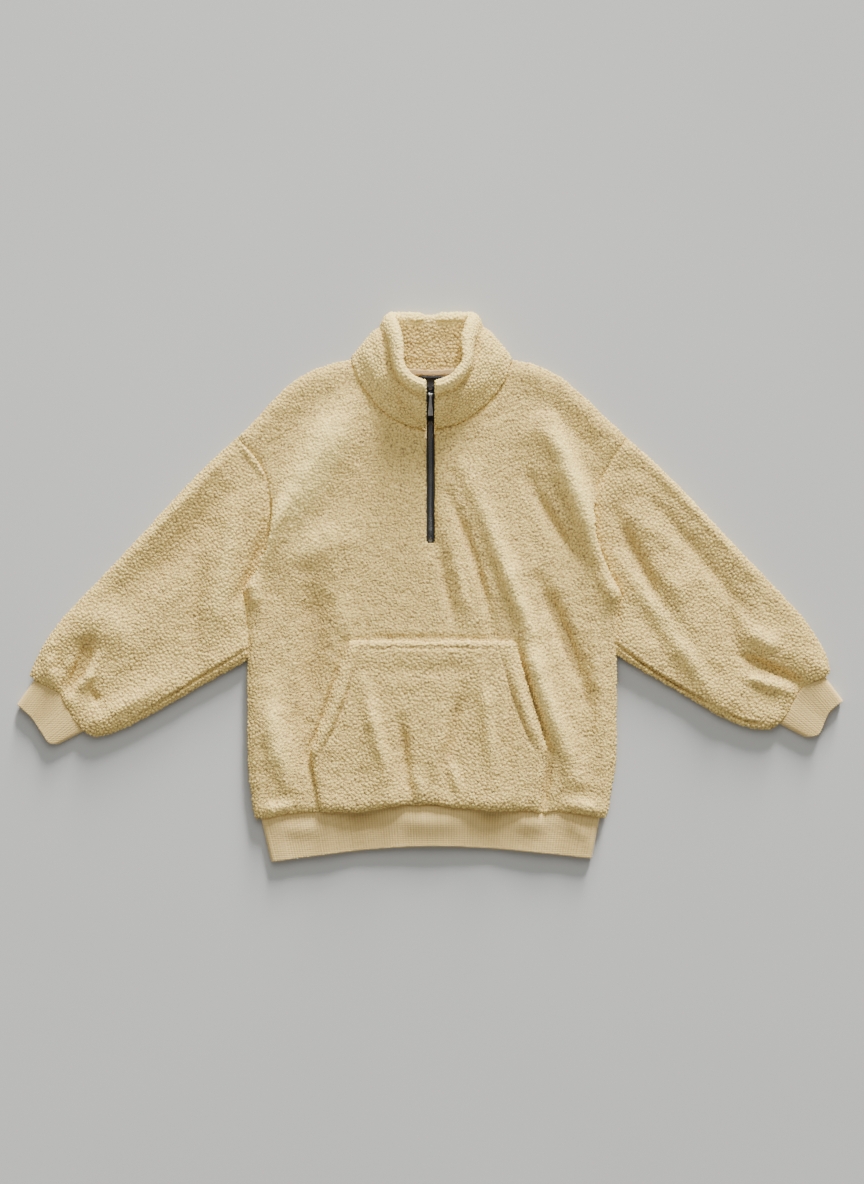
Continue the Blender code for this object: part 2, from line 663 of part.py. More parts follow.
SLEEVE_LINES_FRONT = (0, 0.005, 0.019, 0.041, 0.067, 0.15, 0.31, 0.46, 0.61, 0.76, 0.87, 0.933, 0.959,
                      0.981, 0.995, 1)
SLEEVE_LINES_BACK = (0, 0.005, 0.019, 0.041, 0.067, 0.31, 0.61, 0.933, 0.959, 0.981, 0.995, 1)
SLEEVE_ARMPIT_LINE = 0.31
SLEEVE_LENGTH = 450.0
SLEEVE_STATIONS = (0, 5, 12, 38, 70, 105, 140, 175, 210, 245, 280, 312, 342, 370, 394, 414, 430, 440, 446, 450)


def sleeve(name, side, panel_edge, armpit_row, foot_y, top, bottom, end):
    start_line, armpit = sleeve_start(panel_edge, armpit_row, foot_y, side)
    run = lengths(start_line)
    armpit_share = run[armpit] / run[-1]
    top_line = rounded(top)
    bottom_fine = rounded(bottom)
    top_line[0], bottom_fine[0] = start_line[-1], start_line[0]
    end_line = rounded(end)

    def start_curve(v):
        v = np.asarray(v, dtype=float)
        low = v / SLEEVE_ARMPIT_LINE * armpit_share
        high = armpit_share + (v - SLEEVE_ARMPIT_LINE) / (1 - SLEEVE_ARMPIT_LINE) * (1 - armpit_share)
        return along(start_line, np.where(v <= SLEEVE_ARMPIT_LINE, low, high))

    def level(plan, d):
        surface = FRONT_LEVEL - 0.6 + bump(plan, SLEEVE_FOLDS) + swell(d) * 0.8
        dip = np.maximum(seam_dip(distance(plan, start_line)), seam_dip(distance(plan, end_line)))
        return surface, dip

    u = np.array(SLEEVE_STATIONS) / SLEEVE_LENGTH
    grids = []
    for lines in (SLEEVE_LINES_FRONT, SLEEVE_LINES_BACK):
        grids.append(coons(lambda s: along(bottom_fine, s), lambda s: along(top_line, s), start_curve,
                           lambda s: along(end_line, s), u, np.array(lines)))
    outer, inner = [], []
    for k in range(len(u)):
        ring = flat_ring(grids[0][:, k], grids[1][:, k], level, SHERPA_WALL, EDGE_RADIUS,
                         EDGE_MIDDLE, INNER_EDGE_MIDDLE, BACK_TOP)
        outer.append(ring[0])
        if k < 2 or k > len(u) - 3 or k % 2 == 0:
            inner.append(ring[1])
    tube(name, outer, inner, SHERPA_COLOUR, 0.95)
    return grids[0][:, -1], grids[1][:, -1]


armpit_row = int(np.argmin(np.abs(front_v - ARMPIT_AT)))
left_end = sleeve("sleeve_left", -1, front_grid[:, 0], armpit_row, SLEEVE_LEFT_FOOT_Y,
                  SLEEVE_LEFT_TOP, SLEEVE_LEFT_BOTTOM, SLEEVE_LEFT_END)
right_end = sleeve("sleeve_right", 1, front_grid[:, -1], armpit_row, SLEEVE_RIGHT_FOOT_Y,
                   SLEEVE_RIGHT_TOP, SLEEVE_RIGHT_BOTTOM, SLEEVE_RIGHT_END)


def rib_positions(size, corners=()):
    """Half-pitch positions along a band, with the neighbour's corners kept exactly."""
    count = 2 * int(round(size / RIB_PITCH))
    at = np.linspace(0, size, count + 1)
    waves = np.where(np.arange(count + 1) % 2 == 0, 1.0, -1.0) * RIB_RAISE / 2
    for corner in corners:
        at[int(np.argmin(np.abs(at - corner)))] = corner
    return at / size, waves


def band(name, seam_front, seam_back, end_line, top_line, bottom_line_of_band, folds, back_lines, rows):
    """A rib-knit tube from a seam line to its open end, ribs along it on the front."""
    run = lengths(seam_front)
    share, waves = rib_positions(run[-1], run[1:-1])
    back_run = lengths(seam_back)
    corners = [t for t in back_run[1:-1] / back_run[-1] if np.min(np.abs(t - np.array(back_lines))) > 0.002]
    back_lines = sorted(list(back_lines) + corners)

    def level(plan, d):
        surface = RIB_LEVEL + bump(plan, folds) + swell(d) * 0.35
        return surface, np.zeros(len(plan))

    outer, inner = [], []
    for k, t in enumerate(rows):
        rings = []
        for seam, lines in ((seam_front, share), (seam_back, back_lines)):
            rings.append(coons(lambda s: along(bottom_line_of_band, s), lambda s: along(top_line, s),
                               lambda s: along(seam, s), lambda s: along(end_line, s),
                               np.array((0.0, t, 1.0)), np.array(lines))[:, 1])
        ring = flat_ring(rings[0], rings[1], level, RIB_WALL, RIB_EDGE_RADIUS, RIB_EDGE_MIDDLE,
                         RIB_INNER_EDGE_MIDDLE, RIB_WALL, lambda plan: waves)
        outer.append(ring[0])
        if k in (0, len(rows) - 1):
            inner.append(ring[1])
    tube(name, outer, inner, RIB_COLOUR, 0.9)


CUFF_BACK_LINES = (0, 0.02, 0.06, 0.94, 0.98, 1)
CUFF_ROWS = (0, 1)
CUFF_GAP = 0.9


def trimmed(line, start, end):
    """The stretch of a seam line between the points nearest to start and end."""
    run = lengths(line)
    fine = along(line, np.linspace(0, 1, 600))
    at = [np.argmin(np.linalg.norm(fine - np.array(p), axis=1)) / 599 * run[-1] for p in (start, end)]
    inside = [line[k] for k in range(len(line)) if at[0] + 0.8 < run[k] < at[1] - 0.8]
    ends = along(line, np.array(at) / run[-1])
    return np.vstack((ends[0], *inside, ends[1]))


def cuff(name, side, sleeve_end, top, bottom, end):
    seams = [offset(trimmed(line, bottom[0], top[0]), CUFF_GAP if side < 0 else -CUFF_GAP)
             for line in sleeve_end]
    top_line, low_line = rounded(top), rounded(bottom)
    top_line[0], low_line[0] = seams[0][-1], seams[0][0]
    seams[1][0], seams[1][-1] = seams[0][0], seams[0][-1]
    band(name, seams[0], seams[1], rounded(end), top_line, low_line, (), CUFF_BACK_LINES, CUFF_ROWS)


cuff("cuff_left", -1, left_end, CUFF_LEFT_TOP, CUFF_LEFT_BOTTOM, CUFF_LEFT_END)
cuff("cuff_right", 1, right_end, CUFF_RIGHT_TOP, CUFF_RIGHT_BOTTOM, CUFF_RIGHT_END)

# Hem band
HEM_ROWS = (0, 1)
HEM_BACK_LINES = (0, 0.004, 0.012, 0.988, 0.996, 1)


def hem_seam(panel_bottom):
    ends = [(x, np.interp(x, panel_bottom[:, 0], panel_bottom[:, 1])) for x in (HEM_TOP_LEFT, HEM_TOP_RIGHT)]
    inside = panel_bottom[(panel_bottom[:, 0] > HEM_TOP_LEFT + 1) & (panel_bottom[:, 0] < HEM_TOP_RIGHT - 1)]
    return offset(np.vstack((ends[0], inside, ends[1])), -SEAM_GAP)


hem_front, hem_back = hem_seam(front_grid[0]), hem_seam(back_grid[0])
hem_back[0], hem_back[-1] = hem_front[0], hem_front[-1]
hem_end = rounded(HEM_BOTTOM)
hem_left = np.vstack((hem_front[0], hem_end[0]))
hem_right = np.vstack((hem_front[-1], hem_end[-1]))
band("hem_rib", hem_front, hem_back, hem_end, hem_right, hem_left, HEM_FOLDS, HEM_BACK_LINES, HEM_ROWS)


# Kangaroo pocket, made from the front's own points

def pocket():
    bm = sheet_mesh(front_outer, beside_slot)
    corners = polyline(POCKET_OUTLINE)
    sides = []
    for a, b in zip(corners, np.roll(corners, -1, axis=0)):
        step = (b - a) / np.linalg.norm(b - a)
        sides.append((a, np.array((step[1], -step[0]))))
    for inset in (0.0, POCKET_EDGE):
        for point, inner_normal in sides:
            at = point + inner_normal * inset
            bmesh.ops.bisect_plane(bm, geom=list(bm.verts) + list(bm.edges) + list(bm.faces),
                                   plane_co=(at[0] * MM, at[1] * MM, 0),
                                   plane_no=(inner_normal[0], inner_normal[1], 0),
                                   dist=1e-6, clear_inner=inset == 0.0)
    bmesh.ops.remove_doubles(bm, verts=bm.verts, dist=POCKET_MERGE * MM)
    bmesh.ops.triangulate(bm, faces=bm.faces)
    bm.verts.ensure_lookup_table()
    number = bm.verts.layers.int["number"]
    for k, vert in enumerate(bm.verts):
        vert[number] = k
    plan = np.array([vert.co[:2] for vert in bm.verts]) / MM
    d = np.min([(plan - point) @ inner_normal for point, inner_normal in sides], axis=0)
    d = np.minimum(d, distance(plan, front_grid[0]))
    _, rise = turn(np.maximum(d, 0), POCKET_EDGE)
    lift = SEAM_GAP + POCKET_WALL * (0.45 + 0.55 * rise)
    for vert in bm.verts:
        vert.co.z += SEAM_GAP * MM
    base = np.array([vert.co[:] for vert in bm.verts])

    def top(vert, k):
        return (base[k][0], base[k][1], base[k][2] + (lift[k] - SEAM_GAP) * MM)

    thicken(bm, top)
    make_object("pocket", bm, POCKET_COLOUR, 0.95)


pocket()


# Collar

def beside(line, point, towards):
    """The point moved to a seam gap from a panel's edge, on the side of the neck opening."""
    best = None
    for a, b in zip(line[:-1], line[1:]):
        step = b - a
        size = np.linalg.norm(step)
        if size < 1e-6:
            continue
        t = np.clip((point - a) @ step / size ** 2, 0, 1)
        foot = a + t * step
        away = np.linalg.norm(point - foot)
        if best is None or away < best[0]:
            normal = np.array((-step[1], step[0])) / size
            if normal @ (towards - foot) < 0:
                normal = -normal
            best = (away, foot + normal * COLLAR_GAP)
    return best[1]


def collar_section(table, s):
    """Middle line of the wall from seam to rim at station s, with its outward directions."""
    k = min(int(s), len(table) - 2)
    ends = np.vstack((2 * table[0] - table[1], table, 2 * table[-1] - table[-2]))
    row = catmull(ends, k, s - k)
    seam, rim, bulge = row[:3], row[3:6], row[6]
    if row[7] < FRONT_TURN:
        seam[:2] = beside(front_grid[-1], seam[:2], np.array((0.0, 300.0)))
    elif row[7] > BACK_TURN:
        seam[:2] = beside(back_grid[-1], seam[:2], np.array((0.0, 400.0)))
    run = rim[:2] - seam[:2]
    run /= np.linalg.norm(run)
    sideways = np.array((-run[1], run[0], 0.0))
    if sideways @ np.array((seam[0], 0, 0)) < 0:
        sideways = -sideways
    angle = math.radians(float(np.clip(row[7], 0, 180)))
    out = math.cos(angle) * np.array((0.0, 0.0, 1.0)) + math.sin(angle) * sideways
    line = (rim - seam) / np.linalg.norm(rim - seam)
    out_square = out - (out @ line) * line
    out_square /= np.linalg.norm(out_square)
    middle = [seam + (rim - seam) * t + out_square * bulge * 4 * t * (1 - t) for t in COLLAR_LEVELS]
    return np.array(middle), out, out_square, line


def collar_profile(table, s):
    middle, out, out_square, line = collar_section(table, s)
    half = (COLLAR_WALL_AT_SEAM + (COLLAR_WALL_AT_RIM - COLLAR_WALL_AT_SEAM) * np.array(COLLAR_LEVELS)) / 2
    tangents = np.gradient(middle, axis=0)
    outside, inside = [], []
    for j, point in enumerate(middle):
        direction = tangents[j] / np.linalg.norm(tangents[j])
        normal = out_square - (out_square @ direction) * direction
        normal /= np.linalg.norm(normal)
        tilt = min(COLLAR_LEVELS[j] / COLLAR_UPRIGHT_UP_TO, 1.0)
        normal = out * (1 - tilt) + normal * tilt
        normal /= np.linalg.norm(normal)
        outside.append(point + normal * half[j])
        inside.append(point - normal * half[j])
    rim = []
    for step in range(1, COLLAR_RIM_STEPS):
        angle = math.pi * step / COLLAR_RIM_STEPS
        rim.append(middle[-1] + half[-1] * (math.cos(angle) * normal + math.sin(angle) * direction))
    return np.array(outside), np.array(rim), np.array(inside)


collar_table = polyline(COLLAR_STATIONS)
collar_at = np.arange(0, (len(collar_table) - 1) * COLLAR_STEPS_PER_STATION + 1) / COLLAR_STEPS_PER_STATION
collar_rings, collar_inside = [], []
for s in collar_at:
    outside, rim, inside = collar_profile(collar_table, s)
    ring = np.vstack((outside, rim, inside[::-1]))
    ring[:, 2] = np.maximum(ring[:, 2], 0.0)
    if s in (collar_at[0], collar_at[-1]):
        ring[:, 0] = SLOT_LEFT if s == 0 else SLOT_RIGHT
    collar_rings.append(ring)
    collar_inside.append(inside)
collar_bm = bmesh.new()
collar_made = loft(collar_bm, collar_rings)
for ring in (collar_made[0], collar_made[-1]):
    count = len(COLLAR_LEVELS)
    for j in range(count - 1):
        low, high = len(ring) - 1 - j, len(ring) - 2 - j
        collar_bm.faces.new((ring[j], ring[j + 1], ring[high], ring[low]))
    collar_bm.faces.new(ring[count - 1:len(ring) - count + 1])
make_object("collar", collar_bm, SHERPA_COLOUR, 0.95)

# Neck tape, made from the collar's own points
tape_from, tape_to = (k * COLLAR_STEPS_PER_STATION for k in TAPE_STATIONS)
tape_grid = np.array([[collar_inside[k][j] for k in range(tape_from, tape_to + 1)] for j in TAPE_LEVELS])
tape_grid[..., 2] += SEAM_GAP
tape_upper = tape_grid + np.array((0.0, 0.0, TAPE_THICK))
wall_from_sheet("neck_tape", tape_grid, tape_upper, (0.62, 0.55, 0.42), 0.8)

# Neck label, hanging from the tape onto the back panel
label_x = (LABEL_LEFT, LABEL_RIGHT)
label_grid = np.array([[(x, y, BACK_TOP + SEAM_GAP + rise) for x in label_x] for y, rise in LABEL_ROWS])
wall_from_sheet("label", label_grid, label_grid + np.array((0.0, 0.0, LABEL_THICK)), ZIP_BLACK, 0.6)


# Zip: everything follows one path up the slot and the collar's front edge

def zip_path():
    """y and z of the cloth's outer face beside the slot, smooth over the neck seam."""
    panel = front_outer[slot_at:, slot_column, 1:]
    panel = panel[panel[:, 0] < ZIP_PATH_LEAVES_PANEL]
    collar = collar_rings[0][ZIP_PATH_JOINS_COLLAR:len(COLLAR_LEVELS), 1:]
    return rounded(np.vstack((panel, collar)), 4)


ZIP_PATH_LEAVES_PANEL = 212.0
ZIP_PATH_JOINS_COLLAR = 2
path = zip_path()
path_length = lengths(path)[-1]


def path_frame(s):
    """Point, tangent and outward normal of the path in the Y-Z plane."""
    point = along(path, [s / path_length])[0]
    before, after = along(path, [max(s - 1.5, 0) / path_length, min(s + 1.5, path_length) / path_length])
    tangent = (after - before) / np.linalg.norm(after - before)
    return point, tangent, np.array((-tangent[1], tangent[0]))


def strip(name, start, end, x0, x1, depth, thick, colour, roughness, metallic=0.0):
    """A band of cloth or metal along the path, below the outer face by its depth."""
    rings = []
    for s in np.linspace(start, end, max(2, int((end - start) / 9.0) + 1)):
        point, _, normal = path_frame(s)
        high, low = point - normal * depth, point - normal * (depth + thick)
        rings.append(np.array(((x0, *high), (x1, *high), (x1, *low), (x0, *low))))
    bm = bmesh.new()
    made = loft(bm, rings)
    bm.faces.new(made[0])
    bm.faces.new(made[-1])
    return make_object(name, bm, colour, roughness, metallic)


zip_start = SEAM_GAP
slider_end = path_length - SLIDER_BELOW_RIM
slider_start = slider_end - SLIDER_LENGTH
half_chain = ZIP_CHAIN_WIDTH / 2
strip("zip_tape_left", zip_start, path_length, SLOT_LEFT + SEAM_GAP, SLOT_LEFT + SEAM_GAP + ZIP_TAPE_WIDTH,
      ZIP_TAPE_DEPTH, ZIP_TAPE_THICK, ZIP_BLACK, 0.8)
strip("zip_tape_right", zip_start, path_length, SLOT_RIGHT - SEAM_GAP - ZIP_TAPE_WIDTH,
      SLOT_RIGHT - SEAM_GAP, ZIP_TAPE_DEPTH, ZIP_TAPE_THICK, ZIP_BLACK, 0.8)
strip("zip_stop", zip_start, zip_start + STOP_LENGTH, ZIP_MIDDLE - half_chain, ZIP_MIDDLE + half_chain,
      ZIP_CHAIN_DEPTH - 0.3, STOP_THICK, (0.35, 0.34, 0.32), 0.3, 1.0)
strip("zip_chain", zip_start + STOP_LENGTH + SEAM_GAP, slider_start - SEAM_GAP, ZIP_MIDDLE - half_chain,
      ZIP_MIDDLE + half_chain, ZIP_CHAIN_DEPTH, ZIP_CHAIN_THICK, (0.03, 0.03, 0.032), 0.4)


# Slider and pull, modelled along their own axes and then turned onto the path

def slab(bm, points, x0, x1):
    """A solid between x0 and x1 from a polygon of (run, height) points."""
    left = [bm.verts.new((x0 * MM, a * MM, b * MM)) for a, b in points]
    right = [bm.verts.new((x1 * MM, a * MM, b * MM)) for a, b in points]
    bm.faces.new(left)
    bm.faces.new(right[::-1])
    for k in range(len(points)):
        n = (k + 1) % len(points)
        bm.faces.new((left[k], left[n], right[n], right[k]))


def circle(run, height, radius, count=16):
    return [(run + radius * math.cos(2 * math.pi * k / count), height + radius * math.sin(2 * math.pi * k / count))
            for k in range(count)]


def hidden_part(name, points, x0, x1):
    bm = bmesh.new()
    slab(bm, points, x0, x1)
    part = make_object(name, bm, ZIP_BLACK, 0.4)
    part.hide_render = True
    part.display_type = "WIRE"
    return part


def combine(obj, other, operation):
    modifier = obj.modifiers.new(other.name, "BOOLEAN")
    modifier.operation = operation
    modifier.object = other
    modifier.solver = "EXACT"


def turn_onto(obj, origin, angle):
    obj.location = (ZIP_MIDDLE * MM, origin[0] * MM, origin[1] * MM)
    obj.rotation_euler = (angle, 0.0, 0.0)


slider_middle = (slider_start + slider_end) / 2
slider_point, slider_tangent, slider_normal = path_frame(slider_middle)
slider_angle = math.atan2(slider_tangent[1], slider_tangent[0])
top_of_plate = -ZIP_TAPE_DEPTH + SEAM_GAP + SLIDER_TOP_PLATE
under_plate = -ZIP_TAPE_DEPTH - ZIP_TAPE_THICK - SEAM_GAP
pin_height = top_of_plate + PIN_LIFT
half_slider, half_web, half_run = SLIDER_WIDTH / 2, SLIDER_WEB / 2, SLIDER_LENGTH / 2


def slider():
    """Top plate, wedge between the tapes, bottom plate, two ears and their pin, as one solid."""
    section = ((-half_slider, top_of_plate), (-half_slider, top_of_plate - SLIDER_TOP_PLATE),
               (-half_web, top_of_plate - SLIDER_TOP_PLATE), (-half_web, under_plate),
               (-half_slider, under_plate), (-half_slider, under_plate - SLIDER_BOTTOM_PLATE),
               (half_slider, under_plate - SLIDER_BOTTOM_PLATE), (half_slider, under_plate),
               (half_web, under_plate), (half_web, top_of_plate - SLIDER_TOP_PLATE),
               (half_slider, top_of_plate - SLIDER_TOP_PLATE), (half_slider, top_of_plate))
    bm = bmesh.new()
    rings = [np.array([(x, run, z) for x, z in section]) for run in (-half_run, half_run)]
    made = loft(bm, rings)
    bm.faces.new(made[0])
    bm.faces.new(made[-1])
    body = make_object("zip_slider", bm, ZIP_BLACK, 0.35, 0.6)
    helpers = []
    ear = [(-EAR_RADIUS - 0.6, top_of_plate - 0.5), (EAR_RADIUS + 0.6, top_of_plate - 0.5)]
    ear += [(EAR_RADIUS * math.cos(a), pin_height + EAR_RADIUS * math.sin(a))
            for a in np.linspace(0, math.pi, 9)]
    for side in (-1, 1):
        inner, outer = sorted((side * EAR_APART, side * (EAR_APART + EAR_THICK)))
        helpers.append(hidden_part("ear_left" if side < 0 else "ear_right", ear, inner, outer))
    helpers.append(hidden_part("pin", circle(0, pin_height, PIN_RADIUS, 12),
                               -EAR_APART - EAR_THICK / 2, EAR_APART + EAR_THICK / 2))
    for helper in helpers:
        turn_onto(helper, slider_point, slider_angle)
        combine(body, helper, "UNION")
    turn_onto(body, slider_point, slider_angle)


slider()
pin_point = slider_point + slider_normal * pin_height
foot_point = path_frame(slider_middle - PULL_LENGTH - TIP_LENGTH)[0] + slider_normal * 1.2
pull_line = pin_point - foot_point
pull_angle = math.atan2(pull_line[1], pull_line[0])


def pull():
    """A flat pull that widens to its end, with a barrel round the slider's pin."""
    bm = bmesh.new()
    half = PULL_THICK / 2
    rings = [np.array(((-w / 2, -run, half), (w / 2, -run, half), (w / 2, -run, -half), (-w / 2, -run, -half)))
             for run, w in PULL_OUTLINE]
    made = loft(bm, rings)
    bm.faces.new(made[0])
    bm.faces.new(made[-1])
    plate = make_object("zip_pull", bm, (0.42, 0.41, 0.40), 0.28, 1.0)
    turn_onto(plate, pin_point, pull_angle)
    barrel = hidden_part("barrel", circle(0, 0, PULL_BARREL), -PULL_BARREL_WIDTH / 2, PULL_BARREL_WIDTH / 2)
    bore = hidden_part("bore", circle(0, 0, PULL_BORE), -PULL_BARREL_WIDTH, PULL_BARREL_WIDTH)
    for helper, operation in ((barrel, "UNION"), (bore, "DIFFERENCE")):
        turn_onto(helper, pin_point, pull_angle)
        combine(plate, helper, operation)


def pull_tip():
    bm = bmesh.new()
    half_width, half = TIP_WIDTH / 2, TIP_THICK / 2
    near = -PULL_LENGTH - SEAM_GAP
    rings = []
    for run, narrow in ((near, 0.6), (near - 1.2, 0.0), (near - TIP_LENGTH + 1.5, 0.0), (near - TIP_LENGTH, 0.8)):
        w, h = half_width - narrow, half - narrow * 0.6
        rings.append(np.array(((-w, run, h), (w, run, h), (w, run, -h), (-w, run, -h))))
    made = loft(bm, rings)
    bm.faces.new(made[0])
    bm.faces.new(made[-1])
    tip = make_object("zip_pull_tip", bm, ZIP_BLACK, 0.5)
    turn_onto(tip, pin_point, pull_angle)


pull()
pull_tip()
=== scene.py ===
import math

import bmesh
import bpy
import numpy as np
from mathutils import Matrix, Vector, kdtree, noise


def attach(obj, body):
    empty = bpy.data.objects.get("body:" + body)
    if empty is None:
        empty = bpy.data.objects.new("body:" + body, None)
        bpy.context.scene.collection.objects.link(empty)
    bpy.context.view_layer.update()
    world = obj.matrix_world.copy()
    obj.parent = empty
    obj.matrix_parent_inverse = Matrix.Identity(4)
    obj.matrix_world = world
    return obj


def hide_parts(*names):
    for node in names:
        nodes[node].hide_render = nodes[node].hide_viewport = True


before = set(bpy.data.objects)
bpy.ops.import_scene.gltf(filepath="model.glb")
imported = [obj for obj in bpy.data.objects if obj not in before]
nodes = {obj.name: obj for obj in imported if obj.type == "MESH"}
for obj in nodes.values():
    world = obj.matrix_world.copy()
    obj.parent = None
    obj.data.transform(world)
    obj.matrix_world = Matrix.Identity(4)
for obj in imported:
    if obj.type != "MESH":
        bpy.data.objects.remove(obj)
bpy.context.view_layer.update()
scene = bpy.context.scene
MM = 0.001

# Camera straight above the garment, in metres. Two low suns shine in from the top of the picture
# like a window and cast the shadows below the garment; a weak ceiling light fills them.
PHOTO_LONG_SIDE = 1.7168
PHOTO_MIDDLE = (0.0027, -0.0056)
CAMERA_HEIGHT = 3.6
CLOTH_LEVEL = 0.012
SENSOR_WIDTH = 36.0
DAYLIGHT = (1.0, 0.985, 0.965)
CEILING_LIGHT = (1.0, 0.995, 0.97)
WORLD_LIGHT, WORLD_STRENGTH = (0.83, 0.825, 0.79, 1), 0.45


def camera():
    data = bpy.data.cameras.new("camera")
    data.sensor_width = SENSOR_WIDTH
    data.lens = SENSOR_WIDTH * (CAMERA_HEIGHT - CLOTH_LEVEL) / PHOTO_LONG_SIDE
    made = bpy.data.objects.new("camera", data)
    made.location = (*PHOTO_MIDDLE, CAMERA_HEIGHT)
    scene.collection.objects.link(made)
    scene.camera = made


def area_light(name, place, target, size, power, colour):
    data = bpy.data.lights.new(name, "AREA")
    data.shape, data.size, data.energy, data.color = "DISK", size, power, colour
    made = bpy.data.objects.new(name, data)
    made.location = place
    towards = Vector(target) - Vector(place)
    made.rotation_euler = towards.to_track_quat("-Z", "Y").to_euler()
    scene.collection.objects.link(made)


def sun_light(name, direction, angle, strength, colour):
    data = bpy.data.lights.new(name, "SUN")
    data.energy, data.angle, data.color = strength, math.radians(angle), colour
    made = bpy.data.objects.new(name, data)
    made.rotation_euler = Vector(direction).to_track_quat("-Z", "Y").to_euler()
    scene.collection.objects.link(made)


camera()
sun_light("window", (-0.24, -0.92, -0.37), 10, 4.6, DAYLIGHT)
sun_light("far window", (-0.18, -0.97, -0.20), 12, 6.0, DAYLIGHT)
area_light("ceiling", (-0.05, 0.95, 1.7), (0, 0.1, 0), 1.4, 15, CEILING_LIGHT)
world = bpy.data.worlds.new("studio")
scene.world = world
world.use_nodes = True
world.node_tree.nodes["Background"].inputs["Color"].default_value = WORLD_LIGHT
world.node_tree.nodes["Background"].inputs["Strength"].default_value = WORLD_STRENGTH


# Nodes

def add(tree, kind, settings=None, **inputs):
    """A node with its settings, and a value or a link for each input named, or numbered as _0."""
    made = tree.nodes.new(kind)
    for key, value in (settings or {}).items():
        setattr(made, key, value)
    for key, value in inputs.items():
        socket = made.inputs[int(key[1:]) if key[0] == "_" else key.replace("_", " ")]
        if isinstance(value, bpy.types.NodeSocket):
            tree.links.new(value, socket)
        else:
            socket.default_value = value
    return made


def ramp(tree, factor, stops):
    made = add(tree, "ShaderNodeValToRGB", Fac=factor)
    bar = made.color_ramp
    while len(bar.elements) < len(stops):
        bar.elements.new(0.5)
    for element, (at, colour) in zip(bar.elements, stops):
        element.position, element.color = at, (*colour, 1)
    return made.outputs["Color"]


def math_node(tree, operation, a, b=0.0, clamp=False):
    settings = {"operation": operation, "use_clamp": clamp}
    return add(tree, "ShaderNodeMath", settings, _0=a, _1=b).outputs[0]


def blended(tree, kind, factor, a, b):
    made = add(tree, "ShaderNodeMix", {"data_type": "RGBA", "blend_type": kind}, _0=factor)
    for at, value in ((6, a), (7, b)):
        if isinstance(value, bpy.types.NodeSocket):
            tree.links.new(value, made.inputs[at])
        else:
            made.inputs[at].default_value = (*value, 1)
    return made.outputs[2]


def place_of(tree, scale=(1, 1, 1)):
    at = add(tree, "ShaderNodeTexCoord").outputs["Object"]
    return add(tree, "ShaderNodeMapping", Vector=at, Scale=scale).outputs[0]


def noise_of(tree, at, scale, detail=2.0, rough=0.5):
    return add(tree, "ShaderNodeTexNoise", Vector=at, Scale=scale, Detail=detail,
               Roughness=rough).outputs[0]


def wave_of(tree, at, scale, direction, **inputs):
    return add(tree, "ShaderNodeTexWave", {"bands_direction": direction}, Vector=at, Scale=scale,
               **inputs).outputs["Fac"]


def stored(tree, name):
    """What store() has kept under this name for each point of the mesh."""
    return add(tree, "ShaderNodeAttribute", {"attribute_name": name}).outputs["Fac"]


def mask(tree, factor, low, high, most=1):
    return ramp(tree, factor, ((low, (0, 0, 0)), (high, (most, most, most))))


def new_material(name, roughness, sheen=0.0, metallic=0.0):
    made = bpy.data.materials.new(name)
    made.use_nodes = True
    shader = made.node_tree.nodes["Principled BSDF"]
    shader.inputs["Roughness"].default_value = roughness
    shader.inputs["Sheen Weight"].default_value = sheen
    shader.inputs["Sheen Roughness"].default_value = 0.4
    shader.inputs["Metallic"].default_value = metallic
    return made, made.node_tree, shader


def finish_material(tree, shader, colour, height, strength, distance, roughness=None):
    tree.links.new(colour, shader.inputs["Base Color"])
    if roughness is not None:
        tree.links.new(roughness, shader.inputs["Roughness"])
    bump = add(tree, "ShaderNodeBump", Strength=strength, Distance=distance, Height=height)
    tree.links.new(bump.outputs["Normal"], shader.inputs["Normal"])


# Scales of the pile's noises, and how much each adds to the height that colours it with painted
# shade low between the curls and painted light on their tips
LOOP_SCALE, FUZZ_SCALE, PATCH_SCALE = 230, 900, 9
RELIEF_SHARE, LOOP_SHARE, FUZZ_SHARE = 0.55, 0.36, 0.3


